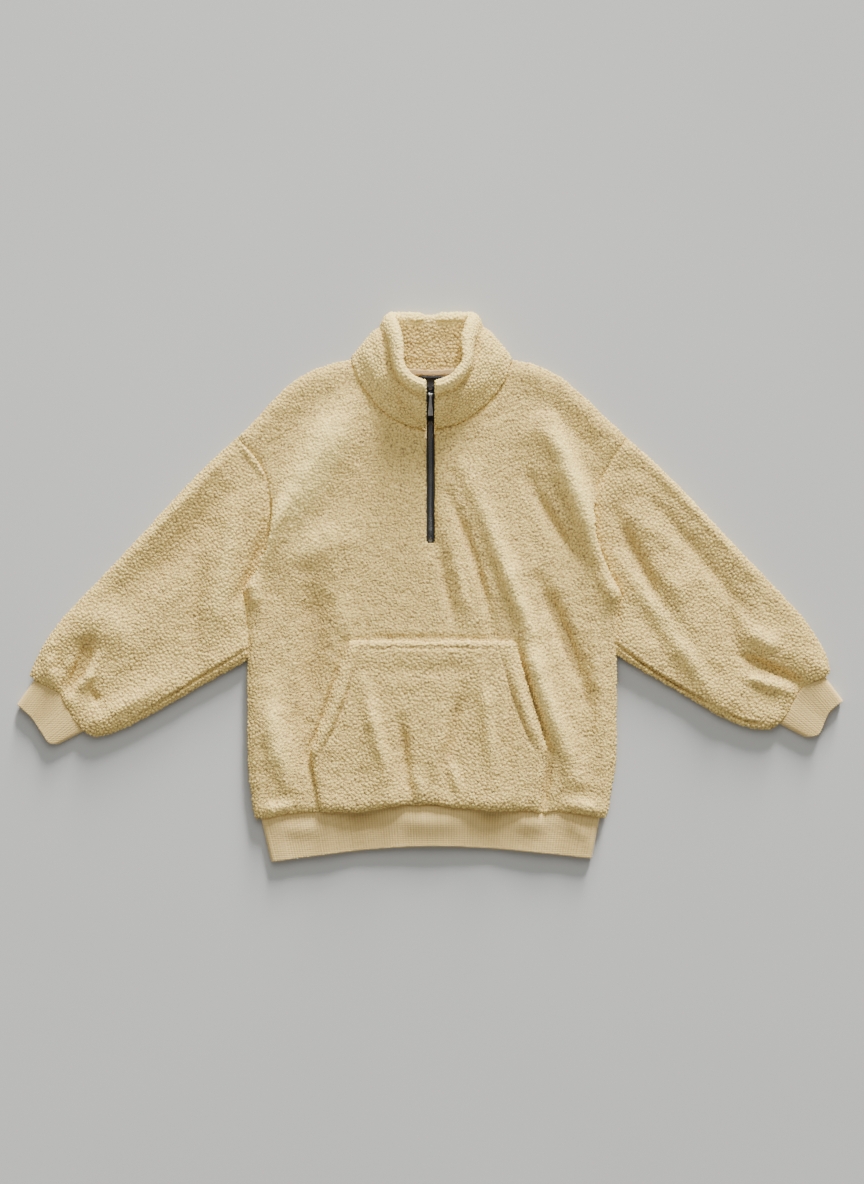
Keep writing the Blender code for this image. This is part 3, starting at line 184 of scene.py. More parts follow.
def pile_group():
    """Curls of the pile: colour from the painted shade deep between them to the painted light on
    their tips, and the height of the fine curls.
    """
    tree = bpy.data.node_groups.new("curled pile", "ShaderNodeTree")
    face = tree.interface
    for name in ("Deep", "Body", "Tip"):
        face.new_socket(name, in_out="INPUT", socket_type="NodeSocketColor")
    face.new_socket("Colour", in_out="OUTPUT", socket_type="NodeSocketColor")
    face.new_socket("Height", in_out="OUTPUT", socket_type="NodeSocketFloat")
    inside = tree.nodes.new("NodeGroupInput").outputs
    at = place_of(tree)
    relief, fold = stored(tree, "pile"), stored(tree, "fold")
    loops = add(tree, "ShaderNodeTexNoise", Vector=at, Scale=LOOP_SCALE, Detail=1.5,
                Distortion=0.7).outputs[0]
    off_middle = math_node(tree, "ABSOLUTE", math_node(tree, "SUBTRACT", loops, 0.5))
    slope = math_node(tree, "MULTIPLY", off_middle, 6.0)
    ridges = math_node(tree, "SUBTRACT", 1.0, slope, clamp=True)
    fuzz = math_node(tree, "SUBTRACT", noise_of(tree, at, FUZZ_SCALE, 3.0, 0.6), 0.3)
    height = math_node(tree, "ADD", math_node(tree, "MULTIPLY", relief, RELIEF_SHARE),
                       math_node(tree, "MULTIPLY", ridges, LOOP_SHARE))
    height = math_node(tree, "ADD", height, math_node(tree, "MULTIPLY", fuzz, FUZZ_SHARE))
    # Painted shade where the curls lie low, painted light where they stand high
    low, high = mask(tree, height, 0.16, 0.52), mask(tree, height, 0.50, 0.88)
    shaded_deep = blended(tree, "MIX", low, inside["Deep"], inside["Body"])
    tipped = blended(tree, "MIX", high, shaded_deep, inside["Tip"])
    patches = ramp(tree, noise_of(tree, at, PATCH_SCALE),
                   ((0.3, (0.95, 0.945, 0.93)), (0.7, (1, 1, 1))))
    # Painted shade in the folds' troughs and painted highlight on their ridges, mixed towards the
    # tip colour on the highest
    painted_fold_light = ramp(tree, fold, ((0.1, (0.78, 0.75, 0.72)), (0.5, (0.94, 0.94, 0.94)),
                                (0.9, (1.18, 1.19, 1.21))))
    painted_ridge_highlight = mask(tree, fold, 0.60, 0.95, 0.35)
    patchy = blended(tree, "MULTIPLY", 1.0, tipped, patches)
    toned = blended(tree, "MULTIPLY", 1.0, patchy, painted_fold_light)
    out = add(tree, "NodeGroupOutput")
    tree.links.new(blended(tree, "MIX", painted_ridge_highlight, toned, inside["Tip"]), out.inputs["Colour"])
    tree.links.new(height, out.inputs["Height"])
    return tree


PILE_GROUP = pile_group()


def pile_material(name, shaded_deep, body, tip):
    made, tree, shader = new_material(name, 0.92, sheen=0.05)
    group = tree.nodes.new("ShaderNodeGroup")
    group.node_tree = PILE_GROUP
    for key, colour in (("Deep", shaded_deep), ("Body", body), ("Tip", tip)):
        group.inputs[key].default_value = (*colour, 1)
    finish_material(tree, shader, group.outputs["Colour"], group.outputs["Height"], 0.62, 0.0016)
    return made


def rib_material():
    made, tree, shader = new_material("rib knit", 0.9, sheen=0.3)
    at = place_of(tree)
    yarn = math_node(tree, "MULTIPLY", noise_of(tree, at, 900), 0.5)
    stitches = wave_of(tree, at, 115, "Y", Distortion=1.5, Detail=1.0)
    fine = math_node(tree, "ADD", yarn, math_node(tree, "MULTIPLY", stitches, 0.35))
    relief, fold = stored(tree, "pile"), stored(tree, "fold")
    # Painted shade in the grooves between the ribs, lighter on their crowns
    colour = ramp(tree, relief, ((0.1, (0.62, 0.435, 0.155)), (0.75, (0.83, 0.60, 0.235))))
    # Painted shade in the folds' troughs and painted highlight on their ridges
    painted_fold_light = ramp(tree, fold, ((0.2, (0.78, 0.75, 0.70)), (0.5, (0.94, 0.94, 0.94)),
                                (0.8, (1.08, 1.09, 1.1))))
    tone = ramp(tree, fine, ((0.2, (0.88, 0.87, 0.85)), (0.7, (1, 1, 1))))
    knit = blended(tree, "MULTIPLY", 1.0, colour, tone)
    toned = blended(tree, "MULTIPLY", 1.0, knit, painted_fold_light)
    finish_material(tree, shader, toned, fine, 0.5, 0.0007)
    return made


def woven_material(name, dark, light, scale=900, roughness=0.75):
    made, tree, shader = new_material(name, roughness)
    at = place_of(tree)
    weave = math_node(tree, "MULTIPLY", wave_of(tree, at, scale / 3, "X"),
                      wave_of(tree, at, scale / 3, "Y"))
    yarn = math_node(tree, "MULTIPLY", noise_of(tree, at, scale), 0.4)
    mixed = math_node(tree, "ADD", weave, yarn)
    colour = ramp(tree, mixed, ((0.1, dark), (0.9, light)))
    finish_material(tree, shader, colour, mixed, 0.4, 0.0004)
    return made


def metal_material(name, dark, light, roughness):
    made, tree, shader = new_material(name, roughness, metallic=1.0)
    at = place_of(tree)
    wear = noise_of(tree, at, 260, 3.0, 0.6)
    fine = noise_of(tree, at, 2600)
    rough = math_node(tree, "ADD", math_node(tree, "MULTIPLY", wear, 0.16), roughness - 0.08)
    colour = ramp(tree, wear, ((0.3, dark), (0.7, light)))
    finish_material(tree, shader, colour, fine, 0.12, 0.0003, rough)
    return made


def thread_material():
    made, tree, shader = new_material("sewing thread", 0.6)
    twist = wave_of(tree, place_of(tree), 520, "DIAGONAL", Distortion=0.5)
    colour = ramp(tree, twist, ((0.2, (0.44, 0.31, 0.14)), (0.8, (0.66, 0.48, 0.24))))
    finish_material(tree, shader, colour, twist, 0.5, 0.0003)
    return made


SHERPA = pile_material("sherpa", (0.33, 0.225, 0.095), (0.87, 0.61, 0.185), (0.99, 0.83, 0.30))
RIB = rib_material()
ZIP_CLOTH = woven_material("zip cloth", (0.004, 0.004, 0.004), (0.016, 0.016, 0.017))
NECK_CLOTH = woven_material("neck tape cloth", (0.50, 0.34, 0.15), (0.70, 0.49, 0.23), 700)
LABEL_CLOTH = woven_material("label cloth", (0.006, 0.006, 0.007), (0.022, 0.022, 0.024), 1400, 0.6)
# The teeth are a lighter grey than the black tapes: painted sheen along the chain's middle
CHAIN = woven_material("zip chain", (0.04, 0.04, 0.04), (0.13, 0.13, 0.128))
SLIDER = metal_material("black slider", (0.02, 0.02, 0.022), (0.07, 0.07, 0.075), 0.28)
PULL = metal_material("gunmetal pull", (0.30, 0.29, 0.28), (0.52, 0.50, 0.48), 0.32)
TIP = metal_material("black tip", (0.01, 0.01, 0.011), (0.03, 0.03, 0.03), 0.4)


# Cloth pieces: a close copy of each solid, remeshed finely where it shows, then its pile raised.
# Lengths are in millimetres from here on, unless a comment says metres.
SAME_POINT = 0.01


def copy_of(node, name):
    mesh = nodes[node].data.copy()
    mesh.materials.clear()
    made = bpy.data.objects.new(name, mesh)
    scene.collection.objects.link(made)
    bm = bmesh.new()
    bm.from_mesh(mesh)
    bmesh.ops.remove_doubles(bm, verts=bm.verts, dist=SAME_POINT * MM)
    bmesh.ops.recalc_face_normals(bm, faces=bm.faces)
    bm.to_mesh(mesh)
    bm.free()
    return made


def no_selection():
    for other in bpy.context.selected_objects:
        other.select_set(False)


def applied(thing, kind, **settings):
    no_selection()
    bpy.context.view_layer.objects.active = thing
    thing.select_set(True)
    made = thing.modifiers.new(kind, kind)
    for key, value in settings.items():
        setattr(made, key, value)
    bpy.ops.object.modifier_apply(modifier=made.name)


def points_of(thing):
    mesh = thing.data
    places = np.zeros(len(mesh.vertices) * 3)
    normals = np.zeros(len(mesh.vertices) * 3)
    mesh.vertices.foreach_get("co", places)
    mesh.vertex_normals.foreach_get("vector", normals)
    return places.reshape(-1, 3), normals.reshape(-1, 3)


def move_points(thing, places):
    thing.data.vertices.foreach_set("co", places.ravel())
    thing.data.update()


def eased(values):
    values = np.clip(values, 0, 1)
    return values * values * (3 - 2 * values)


def weighted(thing, name, weights):
    """A vertex group from one weight a point, in steps."""
    group = thing.vertex_groups.new(name=name)
    steps = np.round(weights * 10).astype(int)
    for step in range(1, 11):
        group.add([int(k) for k in np.nonzero(steps == step)[0]], step / 10, "REPLACE")


HIDDEN_KEPT = 0.06
SMOOTHINGS, LEVEL_SMOOTHINGS = 3, 28
LEVEL_FROM, LEVEL_RANGE = 0.72, 0.2


def remeshed(thing, voxel, hidden):
    """Even small faces, smoothest where the cloth lies level; those that hidden(places, normals)
    picks are thinned out again."""
    applied(thing, "REMESH", mode="VOXEL", voxel_size=voxel)
    applied(thing, "SMOOTH", factor=0.5, iterations=SMOOTHINGS)
    _, normals = points_of(thing)
    weighted(thing, "level", eased((normals[:, 2] - LEVEL_FROM) / LEVEL_RANGE))
    applied(thing, "SMOOTH", factor=0.5, iterations=LEVEL_SMOOTHINGS, vertex_group="level")
    unseen = hidden(*points_of(thing))
    weighted(thing, "hidden", unseen.astype(float))
    share = float(unseen.mean())
    applied(thing, "DECIMATE", ratio=1 - share * (1 - HIDDEN_KEPT), vertex_group="hidden",
            vertex_group_factor=10.0)
    thing.vertex_groups.clear()


# Folds, from the garment's own middle, which TABLE_SHIFT takes to the frame's. Each row is a line
# through three points: x and y of its start, middle and end, its half width, and its height
# (negative is a trough).
HALF_WIDTH, HEIGHT = 6, 7
TABLE_SHIFT = np.array((2.0, 1.627))
BODY_FOLDS = (
    (-126, 256, -166, 180, -222, 60, 36, 6.0), (-205, 135, -232, 80, -257, 10, 11, 3.5),
    (-130, 90, -165, 65, -205, 30, 26, 2.4), (-176, 20, -168, -84, -186, -190, 22, -4.0),
    (-230, -150, -226, -215, -205, -290, 18, 4.0), (169, 240, 204, 156, 253, 23, 17, 6.0),
    (142, 156, 173, 98, 213, 40, 9.5, -2.6), (49, 173, 116, 5, 142, -66, 14, 4.6),
    (142, -66, 160, -146, 213, -279, 15, 5.2), (23, 138, 62, 40, 89, -66, 8.5, -3.5),
    (27, 76, 42, 10, 54, -48, 9, 2.2), (10, 60, 22, 0, 34, -60, 9, -2.2),
    (158, 8, 190, -66, 224, -158, 13, -4.6), (232, -60, 244, -160, 240, -260, 10, 1.5),
    (250, 8, 262, -8, 262, -25, 12, 3.0), (-252, 8, -256, -10, -250, -28, 12, 3.0),
    (-125, 10, -126, -40, -118, -72, 12, 0.9), (-97, -137, -80, -210, -61, -279, 10, 2.5),
    (-44, -190, -40, -235, -35, -285, 9, -3.5), (-22, -270, -17, -290, -15, -310, 9, 2.0),
    (27, -252, 34, -275, 40, -300, 8, 2.5), (45, -146, 30, -215, 9, -285, 11, -3.5),
    (71, -119, 82, -200, 89, -279, 11, 2.2), (110, -130, 115, -200, 105, -290, 9, -1.5),
    (195, -314, 222, -318, 246, -323, 10, 2.5),
    (-246, -322, -222, -320, -196, -315, 10, 2.5),
)
# Beside the pocket on the front, and on the pocket itself
BESIDE_POCKET = (
    (-126, -80, -156, -185, -181, -244, 6, -3.0), (-174, -200, -180, -240, -166, -300, 9, -1.6),
    (126, -80, 146, -165, 173, -240, 6, -3.0), (173, -232, 168, -285, 160, -322, 6, -2.4),
    (-122, -74, 0, -73, 122, -74, 5, -0.7),
)
POCKET_TOP_STITCH = (-112, -89, 0, -87.5, 112, -89)
POCKET_LEFT_STITCH = (-106, -97, -132, -182, -163, -243)
POCKET_RIGHT_STITCH = (100, -97, 126, -182, 153, -240)
ON_POCKET = (
    (-90, -122, 0, -120, 90, -122, 14, -1.0), (-112, -80, 0, -78.5, 112, -80, 9, 0.2),
    (-116, -94, -142, -180, -170, -238, 8, 2.2),
    (112, -94, 138, -180, 163, -235, 8, 2.2),
    (*POCKET_TOP_STITCH, 3.4, -0.9), (*POCKET_LEFT_STITCH, 3.0, -1.2),
    (*POCKET_RIGHT_STITCH, 3.0, -1.2),
)
SLEEVE_FOLDS = (
    (-283, 120, -300, 20, -318, -100, 15, 3.0), (-310, 138, -360, 60, -434, -4, 24, -3.0),
    (-500, -30, -469, -52, -430, -66, 24, 2.0), (-496, -82, -506, -110, -524, -146, 11, -7.0),
    (-487, -118, -500, -135, -512, -150, 8, 3.0), (-335, 60, -340, -20, -347, -100, 12, -2.0),
    (-240, 92, -260, 28, -282, -18, 9, -3.0), (-370, -135, -430, -165, -480, -190, 14, 1.5),
    (-548, -88, -552, -118, -545, -136, 9, 2.0), (-495, -148, -488, -160, -478, -168, 8, -2.0),
    (-290, 195, -360, 125, -450, 30, 8, 1.6), (-279, 212, -256, 182, -238, 152, 5, 2.0),
    (275, 40, 346, -66, 417, -172, 15, 3.6), (266, 112, 300, 40, 337, -30, 12, -3.4),
    (320, 120, 400, 30, 479, -66, 12, -2.2), (462, -60, 479, -75, 505, -95, 14, 3.5),
    (452, -101, 490, -118, 532, -138, 8, -5.5), (450, -128, 480, -138, 515, -150, 8, 3.0),
    (430, -20, 436, -60, 446, -98, 12, -2.0), (290, 205, 370, 125, 470, 15, 8, 1.6),
    (264, -78, 325, -124, 420, -178, 2.6, -3.4), (420, -178, 452, -193, 480, -198, 2.4, -2.2),
    (-262, -86, -330, -128, -420, -182, 2.6, -2.2),
)
HEM_FOLDS = (
    (-60, -334, 0, -338, 55, -334, 20, 3.0), (118, -337, 142, -341, 168, -338, 17, 2.8),
    (-130, -335, -100, -336, -72, -335, 13, -2.4), (65, -333, 85, -335, 108, -333, 10, -1.8),
    (-225, -345, -190, -350, -150, -345, 14, 1.5), (190, -340, 212, -350, 228, -370, 12, 1.5),
)
COLLAR_FOLDS = (
    (-70, 374, -66, 330, -50, 284, 7, -2.2), (-50, 280, -44, 262, -38, 246, 7, -1.5),
    (68, 372, 62, 330, 46, 284, 6, -1.4), (40, 280, 36, 262, 30, 246, 5, -1.2),
    (-26, 284, -23, 265, -22, 248, 4, 1.2), (20, 284, 23, 268, 25, 248, 5, -1.4),
    (-96, 350, -88, 320, -68, 282, 9, 1.6), (94, 340, 86, 312, 66, 278, 8, 1.2),
)


def bent_line(fold, count=14):
    """The smooth line through a fold's three points."""
    a, b, c = np.array(fold[:6], float).reshape(3, 2)
    share = np.linspace(0, 1, count)[:, None]
    middle = 2 * b - (a + c) / 2
    return (1 - share) ** 2 * a + 2 * share * (1 - share) * middle + share ** 2 * c


def away_from(points, line):
    """Each point's distance to the line, and its share of the way along it."""
    best, along = np.full(len(points), 1e9), np.zeros(len(points))
    for k, (a, b) in enumerate(zip(line[:-1], line[1:])):
        step = b - a
        share = np.clip(((points - a) @ step) / (step @ step), 0, 1)
        distance = np.linalg.norm(points - a - share[:, None] * step, axis=1)
        along = np.where(distance < best, (k + share) / (len(line) - 1), along)
        best = np.minimum(best, distance)
    return best, along


LOWEST_OUTSIDE = 9.6
# How much painted shade or highlight each millimetre of a fold's height gives
FOLD_PAINTED_LIGHT = 0.05
FOLD_GAIN = 1.8
FOLD_REACH = 3.2
SIDE_ROLL, SIDE_SPREAD = 0.45, 0.6
END_HEIGHT, END_LENGTH = 0.3, 0.35
FOLDS_FACING, FOLDS_EASE = 0.1, 0.5


def fold_height(points, fold):
    """A soft trough or ridge that runs out at both ends, with cloth rolled the other way a little
    on both its sides."""
    distance, along = away_from(points, bent_line(fold))
    across = (distance / fold[HALF_WIDTH]) ** 2
    profile = np.exp(-across) - SIDE_ROLL * across * np.exp(-across * SIDE_SPREAD) * SIDE_SPREAD
    ends = END_HEIGHT + (1 - END_HEIGHT) * eased(np.minimum(along, 1 - along) / END_LENGTH)
    return fold[HEIGHT] * FOLD_GAIN * profile * ends


def folded(thing, folds):
    """Lifts and sinks the points that face up, and keeps how much as painted shade in the troughs
    and painted highlight on the ridges.
    """
    places, normals = points_of(thing)
    above = places[:, 2] > LOWEST_OUTSIDE * MM
    upper = np.nonzero((normals[:, 2] > FOLDS_FACING) & above)[0]
    plan = places[upper, :2] / MM - TABLE_SHIFT
    height = np.zeros(len(upper))
    for fold in folds:
        reach = FOLD_REACH * fold[HALF_WIDTH]
        ends = np.array(fold[:6]).reshape(3, 2)
        low, high = ends.min(axis=0) - reach, ends.max(axis=0) + reach
        near = np.nonzero(np.all((plan > low) & (plan < high), axis=1))[0]
        height[near] += fold_height(plan[near], fold)
    tone = np.full(len(places), 0.5)
    tone[upper] = np.clip(0.5 + height * FOLD_PAINTED_LIGHT, 0, 1)
    store(thing, "fold", tone)
    height *= eased((normals[upper, 2] - FOLDS_FACING) / FOLDS_EASE)
    places[upper, 2] = np.maximum(places[upper, 2] + height * MM, LOWEST_OUTSIDE * MM)
    move_points(thing, places)


NUB_SPACING = 3.9
NUB_HEIGHT = 1.7
EDGE_WIDTH, DOME_WIDTH = 0.75, 0.8
EDGE_SHARE, DOME_SHARE = 0.6, 0.4
LOWEST_NUB = 0.75
CLUMP_SIZE, CLUMP_HEIGHT = 16.0, 0.8
WANDER_SIZE, WANDER = 7.0, 1.6
# noise_vector takes its offsets from the clock until a seed is set
noise.seed_set(1)
PILE_FROM, PILE_EASE = -0.35, 0.3
SEAM_SPREAD = 2.0
ZIP_MIDDLE, ZIP_HALF_GAP, ZIP_EASE = -1.5, 11.0, 6
# Where a seam would gape: x, y, radius, and how much further its edges move out there
OPEN_SEAMS = ((160, -325, 12, 6.0), (234, 118, 30, 3.4), (-235, 140, 30, 1.8))


def nubs(places, spacing, seed):
    """Evenly strewn curls: for each point its distance to the nearest curl and to the next, which
    is its nearest, and how many there are."""
    tree = kdtree.KDTree(len(places))
    for k, place in enumerate(places):
        tree.insert(place, k)
    tree.balance()
    first = np.full(len(places), 1e9)
    second = np.full(len(places), 1e9)
    owner = np.zeros(len(places), int)
    covered = np.zeros(len(places), bool)
    count = 0
    for k in np.random.default_rng(seed).permutation(len(places)):
        if covered[k]:
            continue
        count += 1
        for _, other, distance in tree.find_range(places[k], spacing * 1.6):
            if distance < spacing:
                covered[other] = True
            if distance < first[other]:
                second[other], first[other], owner[other] = first[other], distance, count
            elif distance < second[other]:
                second[other] = distance
    return first, second, owner, count


def seam_spread(places, normals):
    """How far points that face sideways move out, so that sewn edges meet. The zip's edges stay."""
    plan = places[:, :2] / MM - TABLE_SHIFT
    off_zip = np.abs(plan[:, 0] - ZIP_MIDDLE) - ZIP_HALF_GAP
    spread = SEAM_SPREAD * eased(off_zip / ZIP_EASE)
    for x, y, radius, extra in OPEN_SEAMS:
        spread += extra * np.exp(-(np.hypot(plan[:, 0] - x, plan[:, 1] - y) / radius) ** 2)
    return spread * (1 - np.abs(normals[:, 2]))


def raise_pile(thing, seed, shape=seam_spread):
    """Moves the points that show along their normals: curls, and soft clumps under them."""
    places, normals = points_of(thing)
    fade = np.clip((normals[:, 2] - PILE_FROM) / PILE_EASE, 0, 1)
    shown = np.nonzero(fade > 0)[0]
    size = NUB_SPACING * MM
    wandering = [noise.noise_vector(Vector(place) / (WANDER_SIZE * MM)) for place in places[shown]]
    wandered = places[shown] + np.array(wandering) * WANDER * MM
    first, second, owner, count = nubs(wandered, size, seed)
    own_height = np.random.default_rng(seed + 1).random(count + 1)[owner]
    edge = np.clip((second - first) / (EDGE_WIDTH * size), 0, 1)
    dome = np.clip(1 - first / (DOME_WIDTH * size), 0, 1)
    relief = np.zeros(len(places))
    relief[shown] = EDGE_SHARE * edge + DOME_SHARE * dome
    relief[shown] *= LOWEST_NUB + (1 - LOWEST_NUB) * own_height
    clumps = np.zeros(len(places))
    clumps[shown] = [noise.noise(Vector(place) / (CLUMP_SIZE * MM)) for place in places[shown]]
    lift = (relief - 0.5) * NUB_HEIGHT + clumps * CLUMP_HEIGHT
    lift += shape(places, normals)
    move_points(thing, places + normals * (lift * fade * MM)[:, None])
    # The curls' height, kept for their painted shade and painted light
    store(thing, "pile", relief)


def store(thing, name, values):
    made = thing.data.attributes.new(name, "FLOAT", "POINT")
    made.data.foreach_set("value", values.astype(np.float32))


def smooth_faces(thing):
    thing.data.polygons.foreach_set("use_smooth", np.ones(len(thing.data.polygons), bool))
    thing.data.update()


def finished(thing, material, body, slot, *replaced):
    thing.data.materials.clear()
    thing.data.materials.append(material)
    smooth_faces(thing)
    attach(thing, body)
    if replaced:
        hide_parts(*replaced)
    return thing


# What can't be seen of a cloth: its underside, and the level inside below the tubes' upper wall.
# The back's inside shows above NECK_FROM, in metres, where the collar opens.
DOWN, STEEP_DOWN, LEVEL = -0.25, -0.6, 0.8
INSIDE_LEVEL, NECK_FROM = 9.5, 0.26


def faces_down(places, normals):
    return normals[:, 2] < DOWN


def faces_steeply_down(places, normals):
    return normals[:, 2] < STEEP_DOWN


def inside_tube(places, normals):
    inside = (normals[:, 2] > LEVEL) & (places[:, 2] < INSIDE_LEVEL * MM)
    return (normals[:, 2] < DOWN) | inside


def under_front(places, normals):
    covered = places[:, 1] < NECK_FROM
    return (normals[:, 2] < DOWN) | (inside_tube(places, normals) & covered)


# The line of the collar's rim, from the garment's middle: a full roll, with a dip below it outside
RIM = np.array((
    (-7.5, 289, 62), (-24, 295, 63), (-38, 305, 62), (-45.5, 319, 58), (-47, 342, 52),
    (-50, 361, 44), (-55, 376, 34), (-58.5, 384.5, 22), (-56, 389, 12), (-47, 389, 9),
    (0, 388, 9), (47, 389, 9),
    (56.5, 389, 12), (59, 385, 22), (55, 376, 34), (50.5, 360, 44), (49.5, 342, 52), (50, 323, 58),
    (38, 306, 62), (24, 295, 63), (7.5, 289, 62)))
RIM_ROLL, RIM_HALF_WIDTH = 3.2, 11.0
RIM_DIP, RIM_DIP_AT, DIP_HALF_WIDTH = 3.4, 20.0, 6
# Painted light on the collar: highlight on the rim's roll, shade in the dip below it, light on the
# outer wall
RIM_PAINTED_HIGHLIGHT, DIP_PAINTED_SHADE, WALL_PAINTED_LIGHT = 0.42, 0.24, 0.22
COLLAR_MIDDLE, COLLAR_INSIDE_RADIUS, COLLAR_SEAM_LEVEL = (0, 335), 50, 26.0
# Inside, the roll starts this far from the middle and the wall is drawn in a little
INNER_ROLL_FROM, INNER_ROLL_EASE, INNER_THINNING = 24, 16, 0.8
COLLAR_ZIP_GAP, COLLAR_ZIP_EASE = 6, 8


def rim_distance(places):
    """The points from the garment's middle, and how far each is from the rim."""
    table = places / MM - np.array((*TABLE_SHIFT, 0))
    return table, away_from(table, RIM)[0]


def below_rim(distance):
    return np.exp(-((distance - RIM_DIP_AT) / DIP_HALF_WIDTH) ** 2)


def collar_shape(places, normals):
    table, distance = rim_distance(places)
    outward = np.einsum("ij,ij->i", normals[:, :2], table[:, :2] - COLLAR_MIDDLE) > 0
    roll = RIM_ROLL * np.exp(-(distance / RIM_HALF_WIDTH) ** 2)
    dip = RIM_DIP * below_rim(distance)
    aside = eased((np.abs(table[:, 0]) - INNER_ROLL_FROM) / INNER_ROLL_EASE)
    shape = np.where(outward, roll - dip, roll * aside - INNER_THINNING)
    shape += seam_spread(places, normals) * (table[:, 2] < COLLAR_SEAM_LEVEL) * outward
    off_zip = np.abs(table[:, 0] - ZIP_MIDDLE) - COLLAR_ZIP_GAP
    return shape * eased(off_zip / COLLAR_ZIP_EASE)


def paint_collar_light(thing):
    """Painted highlight on the roll at the rim and painted light on the collar's outer wall, and
    painted shade in the dip below the rim.
    """
    places, _ = points_of(thing)
    table, distance = rim_distance(places)
    from_middle = np.hypot(table[:, 0] - COLLAR_MIDDLE[0], table[:, 1] - COLLAR_MIDDLE[1])
    outside = from_middle > COLLAR_INSIDE_RADIUS
    kept = thing.data.attributes["fold"].data
    tone = np.zeros(len(places))
    kept.foreach_get("value", tone)
    tone += RIM_PAINTED_HIGHLIGHT * np.exp(-(distance / RIM_HALF_WIDTH) ** 4)
    tone += (WALL_PAINTED_LIGHT - DIP_PAINTED_SHADE * below_rim(distance)) * outside
    kept.foreach_set("value", np.clip(tone, 0, 1).astype(np.float32))


def sherpa_piece(node, name, voxel, hidden, seed, folds=(), shape=seam_spread):
    made = copy_of(node, name)
    remeshed(made, voxel * MM, hidden)
    folded(made, folds)
    raise_pile(made, seed, shape)
    return finished(made, SHERPA, "garment", "sherpa", node)


RIB_FREE_SMOOTHINGS = 30


def rib_piece(node, name, voxel=1.1, depth=0.9, folds=()):
    """The solid's own ribs, rounded; their height over a copy smoothed free of ribs is kept for the
    painted shade between them.
    """
    made = copy_of(node, name)
    applied(made, "REMESH", mode="VOXEL", voxel_size=voxel * MM)
    applied(made, "SMOOTH", factor=0.5, iterations=1)
    places, _ = points_of(made)
    plain = made.copy()
    plain.data = made.data.copy()
    scene.collection.objects.link(plain)
    applied(plain, "SMOOTH", factor=0.5, iterations=RIB_FREE_SMOOTHINGS)
    smooth_places, normals = points_of(plain)
    relief = np.einsum("ij,ij->i", places - smooth_places, normals) / MM
    bpy.data.objects.remove(plain)
    store(made, "pile", np.clip(relief / depth + 0.5, 0, 1))
    folded(made, folds)
    return finished(made, RIB, "garment", "rib", node)


# Node, name, face size (no piece may pass 200,000 triangles), what is hidden, seed, folds
front = sherpa_piece("front", "front_sherpa", 1.99, faces_down, 1, BODY_FOLDS + BESIDE_POCKET)
back = sherpa_piece("back", "back_sherpa", 2.0, under_front, 2)
sleeve_left = sherpa_piece("sleeve_left", "sleeve_left_sherpa", 1.65, inside_tube, 3, SLEEVE_FOLDS)
sleeve_right = sherpa_piece("sleeve_right", "sleeve_right_sherpa", 1.65, inside_tube, 4,
                            SLEEVE_FOLDS)
collar = sherpa_piece("collar", "collar_sherpa", 1.45, faces_steeply_down, 5, COLLAR_FOLDS,
                      collar_shape)
paint_collar_light(collar)
pocket = sherpa_piece("pocket", "pocket_sherpa", 1.75, faces_down, 6, BODY_FOLDS + ON_POCKET)
hem = rib_piece("hem_rib", "hem_rib_knit", 1.26, 0.4, HEM_FOLDS)
cuff_left = rib_piece("cuff_left", "cuff_left_knit")
cuff_right = rib_piece("cuff_right", "cuff_right_knit")


# Zip: one tooth and one plate of the core, copied down the chain. Tapes, neck tape and label are
# the solids, with finer faces. Slider, pull, tip and stop stay as they are, with worn edges.

TOOTH, TOOTH_ROUNDING, TOOTH_ASIDE = (2.6, 0.95, 1.5), 0.28, 0.7
CORE, CORE_ROUNDING, CORE_BELOW = (4.75, 1.0, 0.9), 0.05, 0.35
TOOTH_PITCH = 1.5
CHAIN_TOP, CHAIN_END = 272.0, 70.0
NEAREST, EVENED_ROWS = 8, 6
WORN_EDGE = 0.22


def small_block(size, rounding):
    no_selection()
    bpy.ops.mesh.primitive_cube_add(size=MM, scale=size)
    made = bpy.context.active_object
    bpy.ops.object.transform_apply(location=False, rotation=False, scale=True)
    bpy.ops.object.mode_set(mode="EDIT")
    bpy.ops.mesh.select_all(action="SELECT")
    bpy.ops.mesh.bevel(offset=rounding * MM, segments=2)
    bpy.ops.object.mode_set(mode="OBJECT")
    return made


def copied(pattern, name, placings):
    """One mesh of many copies: each placing is a 4 x 4 matrix for the pattern."""
    bm = bmesh.new()
    for placing in placings:
        before = len(bm.verts)
        bm.from_mesh(pattern.data)
        bm.verts.ensure_lookup_table()
        bmesh.ops.transform(bm, matrix=placing, verts=bm.verts[before:])
    mesh = bpy.data.meshes.new(name)
    bm.to_mesh(mesh)
    bm.free()
    made = bpy.data.objects.new(name, mesh)
    scene.collection.objects.link(made)
    return made


def chain_line():
    """Height and slope of the chain's middle plane along y, and its middle x, from the solid."""
    places, _ = points_of(nodes["zip_chain"])
    rows = places / MM
    ys = np.arange(CHAIN_END, CHAIN_TOP, TOOTH_PITCH / 2) + TABLE_SHIFT[1]
    heights = np.array([rows[np.argsort(np.abs(rows[:, 1] - y))[:NEAREST], 2].mean() for y in ys])
    window = 2 * EVENED_ROWS + 1
    padded = np.pad(heights, EVENED_ROWS, mode="edge")
    heights = np.convolve(padded, np.ones(window) / window, "valid")
    return ys, heights, np.gradient(heights, ys), (rows[:, 0].min() + rows[:, 0].max()) / 2


